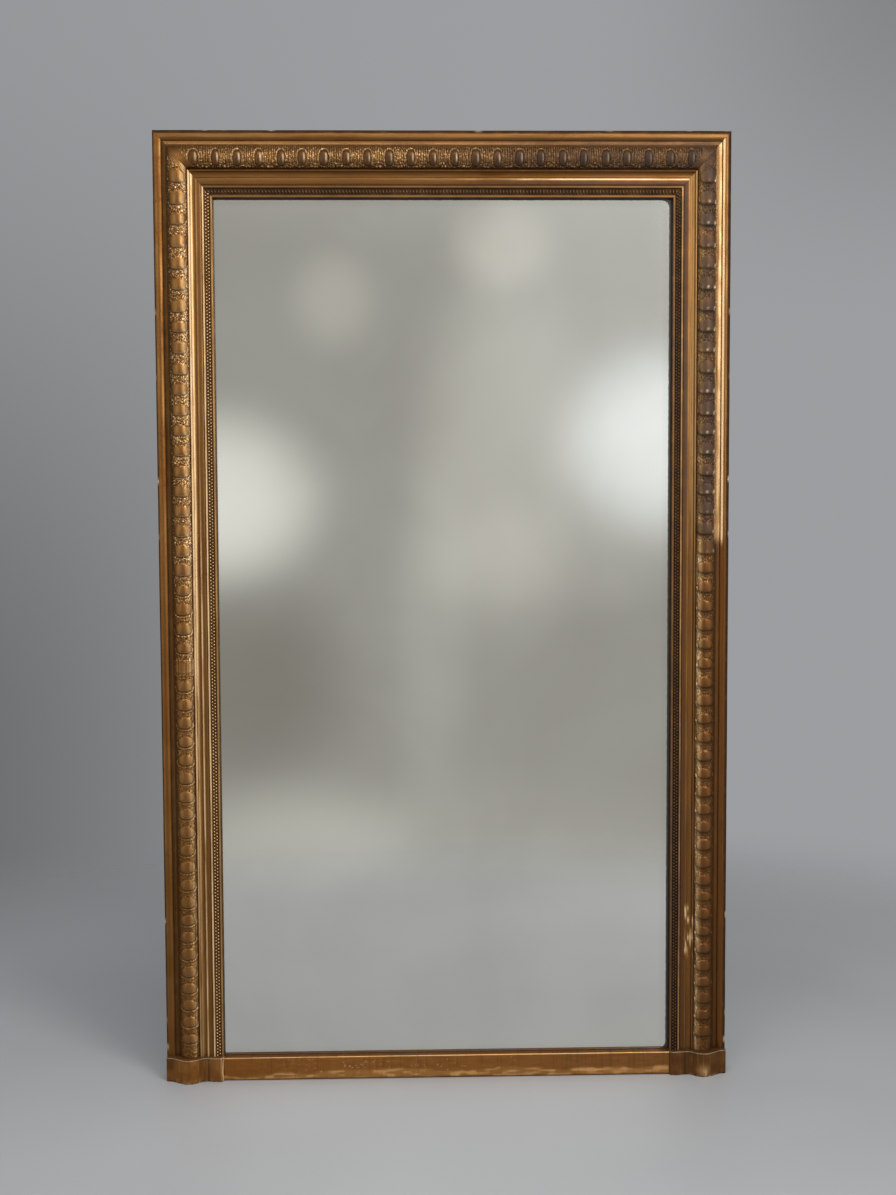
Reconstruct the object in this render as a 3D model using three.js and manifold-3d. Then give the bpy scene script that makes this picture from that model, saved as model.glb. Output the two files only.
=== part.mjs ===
// Giltwood pier mirror. A pine core frame carries four mitred moulding strips, stands on two
// shaped foot blocks with a plain plinth rail between them, and holds one silvered glass plate.
// Millimetres, +Z up, the front towards -Y, the origin on the floor under the frame's middle.
// Inside a section, u runs inwards from the frame's outer edge and h forwards from its back.
import * as THREE from 'three';
import { mergeVertices } from 'three/addons/utils/BufferGeometryUtils.js';
import Module from 'manifold-3d';

const wasm = await Module();
wasm.setup();

// Overall size
const WIDTH = 1110;
const HEIGHT = 1850;

// The head's mouldings are broader than the jambs', so they have an overall width of their own
const HEAD_FACE_WIDTH = 129;

// Core frame behind the mouldings
const CORE_DEPTH = 30;

// Outer lip strip: a crowned edging that also covers the core's outer side
const LIP_WIDTH = 17;
const LIP_RISE = 6;
const LIP_CROWN = 3;

// Torus strip: a hollow beside the lip, then the big round that carries the egg band
const HOLLOW_WIDTH = 9;
const HOLLOW_RISE = 1.5;
const TORUS_WIDTH = 41;
const TORUS_SPRING = 6;
const TORUS_RISE = 24;

// Cove strip: fillet, cove, arris and ovolo
const COVE_FILLET_WIDTH = 3;
const COVE_FILLET_RISE = 14;
const COVE_WIDTH = 11;
const COVE_FLOOR_RISE = 8;
const OVOLO_WIDTH = 12;
const OVOLO_RISE = 12;
const OVOLO_EDGE_RISE = 9;

// Sight strip: fillet, pearl band and the lip next to the glass
const SIGHT_FILLET_WIDTH = 4;
const SIGHT_FILLET_RISE = 12.5;
const PEARL_BAND_WIDTH = 12;
const PEARL_FLOOR_RISE = 8;
const PEARL_RISE = 3.5;
const SIGHT_LIP_WIDTH = 5;
const SIGHT_RISE = 13;
const SIGHT_LIP_RADIUS = 2;

// Foot blocks and plinth rail
const FOOT_HEIGHT = 48;
const FOOT_STAND = 13;
const FOOT_CORNER = 4;
const PLINTH_HEIGHT = 44.5;
const PLINTH_THICKNESS = 17;
const PLINTH_EDGE = 1.5;
const FLOOR_GAP = 2;

// Glass plate, and the wedges that hold it in its rebate
const GLASS_THICKNESS = 5;
const GLASS_LAP = 10;
const GLASS_SIDE_GAP = 2;
const WEDGE_LENGTH = 60;
const WEDGE_REACH = 12;
const WEDGE_TOE = 5;
const WEDGE_BACK_GAP = 2;
const SIDE_WEDGE_INSET = 380;
const END_WEDGE_OFFSET = 220;

// Backboards and their nails
const BOARD_COUNT = 5;
const BOARD_THICKNESS = 8;
const BOARD_LAP = 14;
const BOARD_INSET = 1.5;
const BOARD_GAP = 1;
const NAIL_RADIUS = 1.2;
const NAIL_LENGTH = 20;
const NAIL_HEAD_RADIUS = 3;
const NAIL_HEAD_HEIGHT = 1.2;

// Pegs that pin the lapped corners of the core
const PEG_RADIUS = 4.5;
const PEG_LENGTH = 26;
const PEG_SPREAD = 35;

// Ring hangers, each let into a pocket in the back of a stile
const HANGER_HEIGHT = 1500;
const RING_WIRE = 4;
const RING_INNER_WIDTH = 24;
const RING_DROP = 26;
const STRAP_WIDTH = 18;
const STRAP_LENGTH = 62;
const STRAP_THICKNESS = 1.5;
const BARREL_WALL = 1.2;
const POCKET_MARGIN = 4;
const POCKET_DEPTH = 9;
const POCKET_HEADROOM = 24;
const SCREW_RADIUS = 1.8;
const SCREW_LENGTH = 14;
const SCREW_HEAD_RADIUS = 3.6;
const SCREW_HEAD_HEIGHT = 1.4;
const SCREW_SPACING = 16;
const SCREW_END_MARGIN = 9;

// Clearances
const MITRE_GAP = 0.3;
const FIT_GAP = 0.3;

// Facets
const CURVE_STEPS = 8;
const PIN_SIDES = 12;
const RING_SIDES = 8;

// Lines across the face, worked out from the strips
const HALF_WIDTH = WIDTH / 2;
const TORUS_START = LIP_WIDTH + HOLLOW_WIDTH;
const COVE_START = TORUS_START + TORUS_WIDTH;
const ARRIS_LINE = COVE_START + COVE_FILLET_WIDTH + COVE_WIDTH;
const SIGHT_START = ARRIS_LINE + OVOLO_WIDTH;
const PEARL_START = SIGHT_START + SIGHT_FILLET_WIDTH;
const PEARL_END = PEARL_START + PEARL_BAND_WIDTH;
const FACE_WIDTH = PEARL_END + SIGHT_LIP_WIDTH;
const HEAD_SHARE = HEAD_FACE_WIDTH / FACE_WIDTH;
const TORUS_LINE = TORUS_START + TORUS_WIDTH / 2;
const COVE_LINE = COVE_START + COVE_FILLET_WIDTH + COVE_WIDTH / 2;
const PEARL_LINE = (PEARL_START + PEARL_END) / 2;
const PLINTH_TOP = FLOOR_GAP + PLINTH_HEIGHT;
const PLINTH_FACE = CORE_DEPTH + PLINTH_THICKNESS;
const DEPTH = CORE_DEPTH + TORUS_RISE + FOOT_STAND;

// Lines of the core, the glass and the boards
const PLATE_EDGE = FACE_WIDTH - GLASS_LAP;
const CORE_EDGE = PLATE_EDGE - GLASS_SIDE_GAP;
const BOARD_REBATE = CORE_EDGE - BOARD_LAP;
const BOARD_SEAT = BOARD_INSET + BOARD_THICKNESS;
const SILL_TOP = PLINTH_TOP - GLASS_LAP;
const SILL_REBATE = SILL_TOP - BOARD_LAP;
const LAP_DEPTH = CORE_DEPTH / 2;
const GLASS_BACK = CORE_DEPTH - GLASS_THICKNESS;
const NAIL_LINE = (BOARD_REBATE + CORE_EDGE) / 2;

// Lines of the hangers
const STRAP_FACE = POCKET_DEPTH - STRAP_THICKNESS;
const RING_AXIS_DEPTH = STRAP_FACE - RING_WIRE / 2 - FIT_GAP;
const HANGER_LINE = (LIP_WIDTH + BOARD_REBATE) / 2;
const POCKET_HALF_WIDTH = RING_INNER_WIDTH / 2 + RING_WIRE + POCKET_MARGIN;
const POCKET_FLOOR = HANGER_HEIGHT - STRAP_LENGTH - POCKET_MARGIN;
const FIRST_SCREW_DROP = STRAP_LENGTH - SCREW_END_MARGIN;

const gilt = { color: 0xa87a3c, roughness: 0.38, metalness: 0.9 };
const giltDark = { color: 0x7d5428, roughness: 0.45, metalness: 0.8 };
const silver = { color: 0xb4b8b2, roughness: 0.05, metalness: 1 };
const pine = { color: 0xa98457, roughness: 0.8, metalness: 0 };
const oldPine = { color: 0x8d6b45, roughness: 0.85, metalness: 0 };
const oak = { color: 0x6b4a2c, roughness: 0.7, metalness: 0 };
const iron = { color: 0x4b4744, roughness: 0.5, metalness: 1 };

const mirror = new THREE.Group();
const frame = new THREE.Group();
frame.position.y = DEPTH / 2;
mirror.add(frame);

function addMesh(name, geometry, look) {
  const mesh = new THREE.Mesh(geometry, new THREE.MeshStandardMaterial(look));
  mesh.name = name;
  frame.add(mesh);
}

function signedVolume(positions) {
  let volume = 0;
  const a = new THREE.Vector3();
  const b = new THREE.Vector3();
  const c = new THREE.Vector3();
  for (let i = 0; i < positions.count; i += 3) {
    a.fromBufferAttribute(positions, i);
    b.fromBufferAttribute(positions, i + 1);
    c.fromBufferAttribute(positions, i + 2);
    volume += a.dot(b.cross(c));
  }
  return volume;
}

// Turns every triangle over if they face inwards.
function faceOutwards(geometry) {
  const positions = geometry.attributes.position;
  if (signedVolume(positions) > 0) return;
  const second = new THREE.Vector3();
  const third = new THREE.Vector3();
  for (let i = 0; i < positions.count; i += 3) {
    second.fromBufferAttribute(positions, i + 1);
    third.fromBufferAttribute(positions, i + 2);
    positions.setXYZ(i + 1, third.x, third.y, third.z);
    positions.setXYZ(i + 2, second.x, second.y, second.z);
  }
}

// A section swept from end 0 to end 1, where place(u, h, end) gives each corner its own point.
function sweep(section, place) {
  const settings = { depth: 1, steps: 1, bevelEnabled: false, curveSegments: CURVE_STEPS };
  const geometry = new THREE.ExtrudeGeometry(section, settings);
  geometry.deleteAttribute('normal');
  geometry.deleteAttribute('uv');
  const positions = geometry.attributes.position;
  for (let i = 0; i < positions.count; i += 1) {
    const point = place(positions.getX(i), positions.getY(i), Math.round(positions.getZ(i)));
    positions.setXYZ(i, point[0], point[1], point[2]);
  }
  faceOutwards(geometry);
  geometry.computeVertexNormals();
  return geometry;
}

function toSolid(geometry) {
  const bare = geometry.clone();
  bare.deleteAttribute('normal');
  bare.deleteAttribute('uv');
  const merged = mergeVertices(bare, 1e-4);
  const vertProperties = new Float32Array(merged.attributes.position.array);
  const triVerts = new Uint32Array(merged.index.array);
  return new wasm.Manifold(new wasm.Mesh({ numProp: 3, vertProperties, triVerts }));
}

function toGeometry(solid) {
  const mesh = solid.getMesh();
  const geometry = new THREE.BufferGeometry();
  geometry.setAttribute('position', new THREE.BufferAttribute(mesh.vertProperties, 3));
  geometry.setIndex(new THREE.BufferAttribute(mesh.triVerts, 1));
  geometry.computeVertexNormals();
  return geometry;
}

function cut(geometry, tools) {
  let solid = toSolid(geometry);
  for (const tool of tools) solid = solid.subtract(toSolid(tool));
  return toGeometry(solid);
}

function join(first, second) {
  return toGeometry(toSolid(first).add(toSolid(second)));
}

// A box between two x, two h and two z values.
function block(x, h, z) {
  const geometry = new THREE.BoxGeometry(x[1] - x[0], h[1] - h[0], z[1] - z[0]);
  return geometry.translate((x[0] + x[1]) / 2, -(h[0] + h[1]) / 2, (z[0] + z[1]) / 2);
}

// A round pin standing along the depth, from one h value to another.
function depthPin(x, z, radius, h) {
  const geometry = new THREE.CylinderGeometry(radius, radius, h[1] - h[0], PIN_SIDES);
  return geometry.translate(x, -(h[0] + h[1]) / 2, z);
}

// A round bar lying across the frame.
function crossBar(x, h, z, radius, length) {
  const geometry = new THREE.CylinderGeometry(radius, radius, length, PIN_SIDES);
  return geometry.rotateZ(Math.PI / 2).translate(x, -h, z);
}

// The band between two u lines of a stile on the side -1 or 1, as rising x values.
function stileSpan(side, from, to) {
  const ends = [side * (HALF_WIDTH - from), side * (HALF_WIDTH - to)];
  return ends.sort((a, b) => a - b);
}

function lipSection() {
  const section = new THREE.Shape();
  const edge = CORE_DEPTH + LIP_RISE - LIP_CROWN;
  section.moveTo(0, 0);
  section.lineTo(LIP_WIDTH, 0);
  section.lineTo(LIP_WIDTH, edge);
  section.quadraticCurveTo(LIP_WIDTH / 2, edge + 2 * LIP_CROWN, 0, edge);
  section.lineTo(0, 0);
  return section;
}

function torusSection() {
  const section = new THREE.Shape();
  const spring = CORE_DEPTH + TORUS_SPRING;
  const floor = CORE_DEPTH + HOLLOW_RISE;
  const half = TORUS_WIDTH / 2;
  section.moveTo(LIP_WIDTH, CORE_DEPTH);
  section.lineTo(COVE_START, CORE_DEPTH);
  section.lineTo(COVE_START, spring);
  section.absellipse(TORUS_LINE, spring, half, TORUS_RISE - TORUS_SPRING, 0, Math.PI, false);
  section.quadraticCurveTo(TORUS_START, floor, LIP_WIDTH, floor);
  section.lineTo(LIP_WIDTH, CORE_DEPTH);
  return section;
}

function coveSection() {
  const section = new THREE.Shape();
  const filletEnd = COVE_START + COVE_FILLET_WIDTH;
  const filletFace = CORE_DEPTH + COVE_FILLET_RISE;
  const floor = CORE_DEPTH + COVE_FLOOR_RISE;
  const crown = CORE_DEPTH + OVOLO_RISE;
  section.moveTo(COVE_START, CORE_DEPTH);
  section.lineTo(SIGHT_START, CORE_DEPTH);
  section.lineTo(SIGHT_START, CORE_DEPTH + OVOLO_EDGE_RISE);
  section.quadraticCurveTo(SIGHT_START, crown, ARRIS_LINE, crown);
  section.lineTo(ARRIS_LINE, floor);
  section.quadraticCurveTo(filletEnd, floor, filletEnd, filletFace);
  section.lineTo(COVE_START, filletFace);
  section.lineTo(COVE_START, CORE_DEPTH);
  return section;
}

function sightSection() {
  const section = new THREE.Shape();
  const front = CORE_DEPTH + SIGHT_RISE;
  const floor = CORE_DEPTH + PEARL_FLOOR_RISE;
  const filletFace = CORE_DEPTH + SIGHT_FILLET_RISE;
  section.moveTo(SIGHT_START, CORE_DEPTH);
  section.lineTo(FACE_WIDTH, CORE_DEPTH);
  section.lineTo(FACE_WIDTH, front - SIGHT_LIP_RADIUS);
  section.quadraticCurveTo(FACE_WIDTH, front, FACE_WIDTH - SIGHT_LIP_RADIUS, front);
  section.lineTo(PEARL_END, front);
  section.lineTo(PEARL_END, floor);
  section.quadraticCurveTo(PEARL_LINE, floor + 2 * PEARL_RISE, PEARL_START, floor);
  section.lineTo(PEARL_START, filletFace);
  section.lineTo(SIGHT_START, filletFace);
  section.lineTo(SIGHT_START, CORE_DEPTH);
  return section;
}

// The height at which the head carries the line u.
function headLine(u) {
  return HEIGHT - HEAD_SHARE * u;
}

// The two jambs stand on the foot blocks and the head lies between their mitres.
function addStrip(name, section) {
  for (const [side, word] of [[-1, 'left'], [1, 'right']]) {
    const place = (u, h, end) => [
      side * (HALF_WIDTH - u), -h, end === 1 ? headLine(u) : FOOT_HEIGHT,
    ];
    addMesh(`${name}_${word}`, sweep(section, place), gilt);
  }
  const placeHead = (u, h, end) => {
    const reach = HALF_WIDTH - u - MITRE_GAP;
    return [end === 1 ? reach : -reach, -h, headLine(u)];
  };
  addMesh(`${name}_head`, sweep(section, placeHead), gilt);
}

// The block's front follows the moulding above it and stands proud of it.
function footSection() {
  const section = new THREE.Shape();
  const standAt = (u, rise) => new THREE.Vector2(u, CORE_DEPTH + rise + FOOT_STAND);
  const torusShoulder = TORUS_SPRING + (TORUS_RISE - TORUS_SPRING) * Math.SQRT1_2;
  const shoulder = TORUS_WIDTH * Math.SQRT1_2 / 2;
  section.moveTo(0, 0);
  section.lineTo(LIP_WIDTH, 0);
  section.lineTo(LIP_WIDTH, CORE_DEPTH);
  section.lineTo(FACE_WIDTH, CORE_DEPTH);
  section.lineTo(FACE_WIDTH, PLINTH_FACE + FOOT_CORNER / 2);
  section.splineThru([
    standAt(PEARL_END, SIGHT_FILLET_RISE - PEARL_RISE / 2),
    standAt(PEARL_START, SIGHT_FILLET_RISE - PEARL_RISE / 2),
    standAt(COVE_LINE, COVE_FLOOR_RISE),
    standAt(TORUS_LINE + shoulder, torusShoulder),
    standAt(TORUS_LINE, TORUS_RISE),
    standAt(TORUS_LINE - shoulder, torusShoulder),
    new THREE.Vector2(LIP_WIDTH * 0.75, PLINTH_FACE + FOOT_CORNER / 4),
  ]);
  section.lineTo(FOOT_CORNER, PLINTH_FACE);
  section.quadraticCurveTo(0, PLINTH_FACE, 0, PLINTH_FACE - FOOT_CORNER);
  section.lineTo(0, 0);
  return section;
}

function addFeet() {
  for (const [side, word] of [[-1, 'left'], [1, 'right']]) {
    const place = (u, h, end) => [side * (HALF_WIDTH - u), -h, end * FOOT_HEIGHT];
    addMesh(`foot_block_${word}`, sweep(footSection(), place), giltDark);
  }
}

// Here the section's own axes are h and z, and it runs across from foot to foot.
function addPlinth() {
  const section = new THREE.Shape();
  section.moveTo(CORE_DEPTH, FLOOR_GAP);
  section.lineTo(PLINTH_FACE, FLOOR_GAP);
  section.lineTo(PLINTH_FACE, PLINTH_TOP - PLINTH_EDGE);
  section.lineTo(PLINTH_FACE - PLINTH_EDGE, PLINTH_TOP);
  section.lineTo(CORE_DEPTH, PLINTH_TOP);
  section.lineTo(CORE_DEPTH, FLOOR_GAP);
  const reach = HALF_WIDTH - FACE_WIDTH;
  const place = (h, z, end) => [end === 1 ? reach : -reach, -h, z];
  addMesh('plinth_rail', sweep(section, place), giltDark);
}

// Peg places on one lapped corner, as u and z.
function pegPlaces() {
  const line = (LIP_WIDTH + CORE_EDGE) / 2;
  const high = headLine(line);
  const low = (FLOOR_GAP + SILL_TOP) / 2;
  const half = PEG_SPREAD / 2;
  return [
    { name: 'head_outer', u: line - half, z: high - half },
    { name: 'head_inner', u: line + half, z: high + half },
    { name: 'sill_outer', u: line - half, z: low },
    { name: 'sill_inner', u: line + half, z: low },
  ];
}

function boardHeight() {
  const opening = headLine(BOARD_REBATE) - SILL_REBATE;
  return (opening - (BOARD_COUNT + 1) * BOARD_GAP) / BOARD_COUNT;
}

function boardFoot(index) {
  return SILL_REBATE + BOARD_GAP + index * (boardHeight() + BOARD_GAP);
}

function nailHeights() {
  return Array.from({ length: BOARD_COUNT }, (_, index) => boardFoot(index) + boardHeight() / 2);
}

function screwHeights() {
  const lowest = HANGER_HEIGHT - FIRST_SCREW_DROP;
  return [lowest, lowest + SCREW_SPACING];
}

function pegHoles(side) {
  return pegPlaces().map((peg) => depthPin(
    side * (HALF_WIDTH - peg.u), peg.z, PEG_RADIUS + FIT_GAP, [-1, PEG_LENGTH + FIT_GAP],
  ));
}

function nailHoles(side) {
  const x = side * (HALF_WIDTH - NAIL_LINE);
  const end = BOARD_INSET + NAIL_LENGTH + FIT_GAP;
  return nailHeights().map((z) => depthPin(x, z, NAIL_RADIUS + FIT_GAP, [-1, end]));
}

function hangerCuts(side) {
  const x = side * (HALF_WIDTH - HANGER_LINE);
  const pocket = block(
    [x - POCKET_HALF_WIDTH, x + POCKET_HALF_WIDTH],
    [-1, POCKET_DEPTH],
    [POCKET_FLOOR, HANGER_HEIGHT + POCKET_HEADROOM],
  );
  const end = STRAP_FACE + SCREW_LENGTH + FIT_GAP;
  const radius = SCREW_RADIUS + FIT_GAP;
  const holes = screwHeights().map((z) => depthPin(x, z, radius, [POCKET_DEPTH - 1, end]));
  return [pocket, ...holes];
}

// A stile keeps its back half at the laps, so it runs the full height of the back.
function addStiles() {
  for (const [side, word] of [[-1, 'left'], [1, 'right']]) {
    const z = [0, headLine(LIP_WIDTH)];
    const body = block(stileSpan(side, LIP_WIDTH, CORE_EDGE), [0, CORE_DEPTH], z);
    const headLap = block(
      stileSpan(side, 0, FACE_WIDTH), [LAP_DEPTH, CORE_DEPTH + 1], [headLine(CORE_EDGE), HEIGHT],
    );
    const sillLap = block(
      stileSpan(side, 0, FACE_WIDTH), [LAP_DEPTH, CORE_DEPTH + 1], [-1, SILL_TOP],
    );
    const rebate = block(
      stileSpan(side, BOARD_REBATE, FACE_WIDTH), [-1, BOARD_SEAT],
      [SILL_REBATE, headLine(BOARD_REBATE)],
    );
    const tools = [
      headLap, sillLap, rebate, ...pegHoles(side), ...nailHoles(side), ...hangerCuts(side),
    ];
    addMesh(`stile_${word}`, cut(body, tools), pine);
  }
}

// A rail keeps its front half at the laps, and its board rebate lies between the stiles.
function addRail(name, z, rebateZ) {
  const reach = HALF_WIDTH - LIP_WIDTH;
  const inner = HALF_WIDTH - CORE_EDGE;
  const body = block([-reach, reach], [0, CORE_DEPTH], z);
  const lapZ = [z[0] - 1, z[1] + 1];
  const laps = [
    block([-reach - 1, -inner], [-1, LAP_DEPTH], lapZ),
    block([inner, reach + 1], [-1, LAP_DEPTH], lapZ),
  ];
  const rebate = block([-reach, reach], [-1, BOARD_SEAT], rebateZ);
  const holes = [...pegHoles(-1), ...pegHoles(1)];
  addMesh(name, cut(body, [...laps, rebate, ...holes]), pine);
}

function addRails() {
  const headFoot = headLine(CORE_EDGE);
  const headRebate = headLine(BOARD_REBATE);
  addRail('head_rail', [headFoot, headLine(LIP_WIDTH)], [headFoot - 1, headRebate]);
  addRail('sill_rail', [FLOOR_GAP, SILL_TOP], [SILL_REBATE, SILL_TOP + 1]);
}

function addPegs() {
  for (const [side, word] of [[-1, 'left'], [1, 'right']]) {
    for (const peg of pegPlaces()) {
      const x = side * (HALF_WIDTH - peg.u);
      addMesh(`peg_${peg.name}_${word}`, depthPin(x, peg.z, PEG_RADIUS, [0, PEG_LENGTH]), oak);
    }
  }
}

function addGlass() {
  const reach = HALF_WIDTH - PLATE_EDGE;
  const z = [SILL_TOP, headLine(PLATE_EDGE)];
  const plate = block([-reach, reach], [GLASS_BACK, CORE_DEPTH], z);
  addMesh('mirror_plate', plate, silver);
}

// A wedge fills the corner between the core's inner edge and the back of the glass.
function wedgeSection() {
  const back = BOARD_SEAT + WEDGE_BACK_GAP;
  const section = new THREE.Shape();
  section.moveTo(0, back);
  section.lineTo(WEDGE_TOE, back);
  section.lineTo(WEDGE_REACH, GLASS_BACK);
  section.lineTo(0, GLASS_BACK);
  section.lineTo(0, back);
  return section;
}

function addSideWedges() {
  const heights = { low: SIDE_WEDGE_INSET, high: HEIGHT - SIDE_WEDGE_INSET };
  for (const [side, word] of [[-1, 'left'], [1, 'right']]) {
    for (const [level, middle] of Object.entries(heights)) {
      const foot = middle - WEDGE_LENGTH / 2;
      const place = (u, h, end) => [
        side * (HALF_WIDTH - CORE_EDGE - u), -h, foot + end * WEDGE_LENGTH,
      ];
      addMesh(`glazing_wedge_${word}_${level}`, sweep(wedgeSection(), place), oldPine);
    }
  }
}

function addEndWedges() {
  for (const [side, word] of [[-1, 'left'], [1, 'right']]) {
    const start = side * END_WEDGE_OFFSET - WEDGE_LENGTH / 2;
    const placeSill = (u, h, end) => [start + end * WEDGE_LENGTH, -h, SILL_TOP + u];
    const placeHead = (u, h, end) => [start + end * WEDGE_LENGTH, -h, headLine(CORE_EDGE) - u];
    addMesh(`glazing_wedge_sill_${word}`, sweep(wedgeSection(), placeSill), oldPine);
    addMesh(`glazing_wedge_head_${word}`, sweep(wedgeSection(), placeHead), oldPine);
  }
}

function addBoards() {
  const reach = HALF_WIDTH - BOARD_REBATE - BOARD_GAP;
  for (let index = 0; index < BOARD_COUNT; index += 1) {
    const foot = boardFoot(index);
    const board = block([-reach, reach], [BOARD_INSET, BOARD_SEAT], [foot, foot + boardHeight()]);
    const holes = [...nailHoles(-1), ...nailHoles(1)].filter((_, hole) => hole % BOARD_COUNT === index);
    addMesh(`backboard_${index + 1}`, cut(board, holes), oldPine);
  }
}

function addNails() {
  for (const [side, word] of [[-1, 'left'], [1, 'right']]) {
    const x = side * (HALF_WIDTH - NAIL_LINE);
    nailHeights().forEach((z, index) => {
      const head = depthPin(x, z, NAIL_HEAD_RADIUS, [BOARD_INSET - NAIL_HEAD_HEIGHT, BOARD_INSET]);
      const shank = depthPin(x, z, NAIL_RADIUS, [BOARD_INSET - 1, BOARD_INSET + NAIL_LENGTH]);
      addMesh(`board_nail_${word}_${index + 1}`, join(head, shank), iron);
    });
  }
}

// The strap lies on the pocket's floor and rolls over at its top to hold the ring's bar.
function strapGeometry(x) {
  const half = STRAP_WIDTH / 2;
  const bore = RING_WIRE / 2 / Math.cos(Math.PI / RING_SIDES) + FIT_GAP;
  const plate = block(
    [x - half, x + half], [STRAP_FACE, POCKET_DEPTH],
    [HANGER_HEIGHT - STRAP_LENGTH, HANGER_HEIGHT],
  );
  const barrel = crossBar(x, RING_AXIS_DEPTH, HANGER_HEIGHT, bore + BARREL_WALL, STRAP_WIDTH);
  const hole = crossBar(x, RING_AXIS_DEPTH, HANGER_HEIGHT, bore, STRAP_WIDTH + 2);
  const holes = screwHeights().map((z) => depthPin(
    x, z, SCREW_RADIUS + FIT_GAP, [STRAP_FACE - 1, POCKET_DEPTH + 1],
  ));
  return cut(join(plate, barrel), [hole, ...holes]);
}

// A straight bar with a half-oval bow below it, eight-sided in section.
function ringGeometry(x) {
  const chamfer = RING_WIRE / 2 * (1 - Math.tan(Math.PI / RING_SIDES));
  const inner = RING_INNER_WIDTH / 2 + chamfer;
  const outer = RING_INNER_WIDTH / 2 + RING_WIRE - chamfer;
  const core = RING_WIRE / 2 - chamfer;
  const middleDrop = RING_DROP - RING_WIRE / 2;
  const bow = (radius, drop, top) => {
    const path = new THREE.Shape();
    path.absellipse(0, top, radius, drop + top, -Math.PI, 0, false);
    return path;
  };
  const ring = bow(outer, middleDrop + core, core);
  ring.holes.push(bow(inner, middleDrop - core, -core));
  const geometry = new THREE.ExtrudeGeometry(ring, {
    depth: 2 * core, steps: 1, curveSegments: 2 * CURVE_STEPS,
    bevelEnabled: true, bevelSegments: 1, bevelSize: chamfer, bevelThickness: chamfer,
  });
  geometry.translate(0, 0, -core).rotateX(Math.PI / 2);
  return geometry.translate(x, -RING_AXIS_DEPTH, HANGER_HEIGHT);
}

function addHangers() {
  for (const [side, word] of [[-1, 'left'], [1, 'right']]) {
    const x = side * (HALF_WIDTH - HANGER_LINE);
    addMesh(`hanger_strap_${word}`, strapGeometry(x), iron);
    addMesh(`hanger_ring_${word}`, ringGeometry(x), iron);
    screwHeights().forEach((z, index) => {
      const head = depthPin(x, z, SCREW_HEAD_RADIUS, [STRAP_FACE - SCREW_HEAD_HEIGHT, STRAP_FACE]);
      const shank = depthPin(x, z, SCREW_RADIUS, [STRAP_FACE - 1, STRAP_FACE + SCREW_LENGTH]);
      addMesh(`hanger_screw_${word}_${index + 1}`, join(head, shank), iron);
    });
  }
}

addStrip('outer_lip', lipSection());
addStrip('egg_band', torusSection());
addStrip('cove_strip', coveSection());
addStrip('sight_strip', sightSection());
addFeet();
addPlinth();
addStiles();
addRails();
addPegs();
addGlass();
addSideWedges();
addEndWedges();
addBoards();
addNails();
addHangers();

export default mirror;
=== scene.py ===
"""The looks of a tall giltwood pier mirror, made round its construction.

The pieces are moulded in sections. In a section, u runs inwards from the frame's outer edge and
h forwards from the wall, and a piece follows its strip of the frame: left jamb, right jamb or head.
"""

import math

import bpy
import numpy as np
from bpy.props import FloatProperty, FloatVectorProperty, PointerProperty
from bpy.types import Operator, Panel, PropertyGroup
from mathutils import Matrix, Vector


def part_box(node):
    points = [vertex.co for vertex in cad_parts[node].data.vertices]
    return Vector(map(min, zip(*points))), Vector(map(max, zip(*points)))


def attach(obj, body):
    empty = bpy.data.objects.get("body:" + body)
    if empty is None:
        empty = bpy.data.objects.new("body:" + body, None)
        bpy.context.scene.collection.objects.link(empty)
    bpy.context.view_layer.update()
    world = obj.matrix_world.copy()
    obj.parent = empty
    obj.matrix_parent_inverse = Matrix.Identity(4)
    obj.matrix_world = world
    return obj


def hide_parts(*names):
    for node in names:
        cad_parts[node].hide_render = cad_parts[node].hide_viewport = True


bl_info = {
    "name": "Giltwood pier mirror",
    "version": (1, 0, 0),
    "blender": (4, 5, 0),
    "location": "3D View > Sidebar > Mirror",
    "description": "Carves, gilds and silvers a tall pier mirror round its pine core",
    "category": "Object",
}

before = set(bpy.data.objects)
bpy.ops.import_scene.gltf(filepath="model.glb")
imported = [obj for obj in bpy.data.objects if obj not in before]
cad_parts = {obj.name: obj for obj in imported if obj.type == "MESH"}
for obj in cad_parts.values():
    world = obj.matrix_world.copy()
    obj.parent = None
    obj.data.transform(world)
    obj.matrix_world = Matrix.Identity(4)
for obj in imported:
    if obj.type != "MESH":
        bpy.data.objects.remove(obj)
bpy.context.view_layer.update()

MM = 0.001
SIDES = {"left": -1, "right": 1}
MEMBERS = ("left", "right", "head")

# Lines of the frame, read from its strips.
LIP_LOW, LIP_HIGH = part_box("outer_lip_left")
BAND_LOW, BAND_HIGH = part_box("egg_band_left")
COVE_LOW, COVE_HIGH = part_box("cove_strip_left")
SIGHT_LOW, SIGHT_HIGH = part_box("sight_strip_left")
FOOT_LOW, FOOT_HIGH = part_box("foot_block_left")
PLINTH_LOW, PLINTH_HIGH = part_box("plinth_rail")
PLATE_LOW, PLATE_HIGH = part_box("mirror_plate")
HEAD_FACE_LOW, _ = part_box("sight_strip_head")

WALL = LIP_HIGH.y
HALF_WIDTH = -LIP_LOW.x
HEIGHT = LIP_HIGH.z
FOOT_TOP = FOOT_HIGH.z
LIP_END = HALF_WIDTH + LIP_HIGH.x
BAND_END = HALF_WIDTH + BAND_HIGH.x
COVE_END = HALF_WIDTH + COVE_HIGH.x
FACE_END = HALF_WIDTH + SIGHT_HIGH.x
CORE_FACE = WALL - BAND_HIGH.y
LIP_CROWN = WALL - LIP_LOW.y
BAND_CROWN = WALL - BAND_LOW.y
FILLET_FACE = WALL - COVE_LOW.y
SIGHT_FACE = WALL - SIGHT_LOW.y
FOOT_FACE = WALL - FOOT_LOW.y
PLINTH_FACE = WALL - PLINTH_LOW.y
PLINTH_TOP = PLINTH_HIGH.z
HEAD_SHARE = (HEIGHT - HEAD_FACE_LOW.z) / FACE_END
MITRE_GAP = 0.3 * MM
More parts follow.
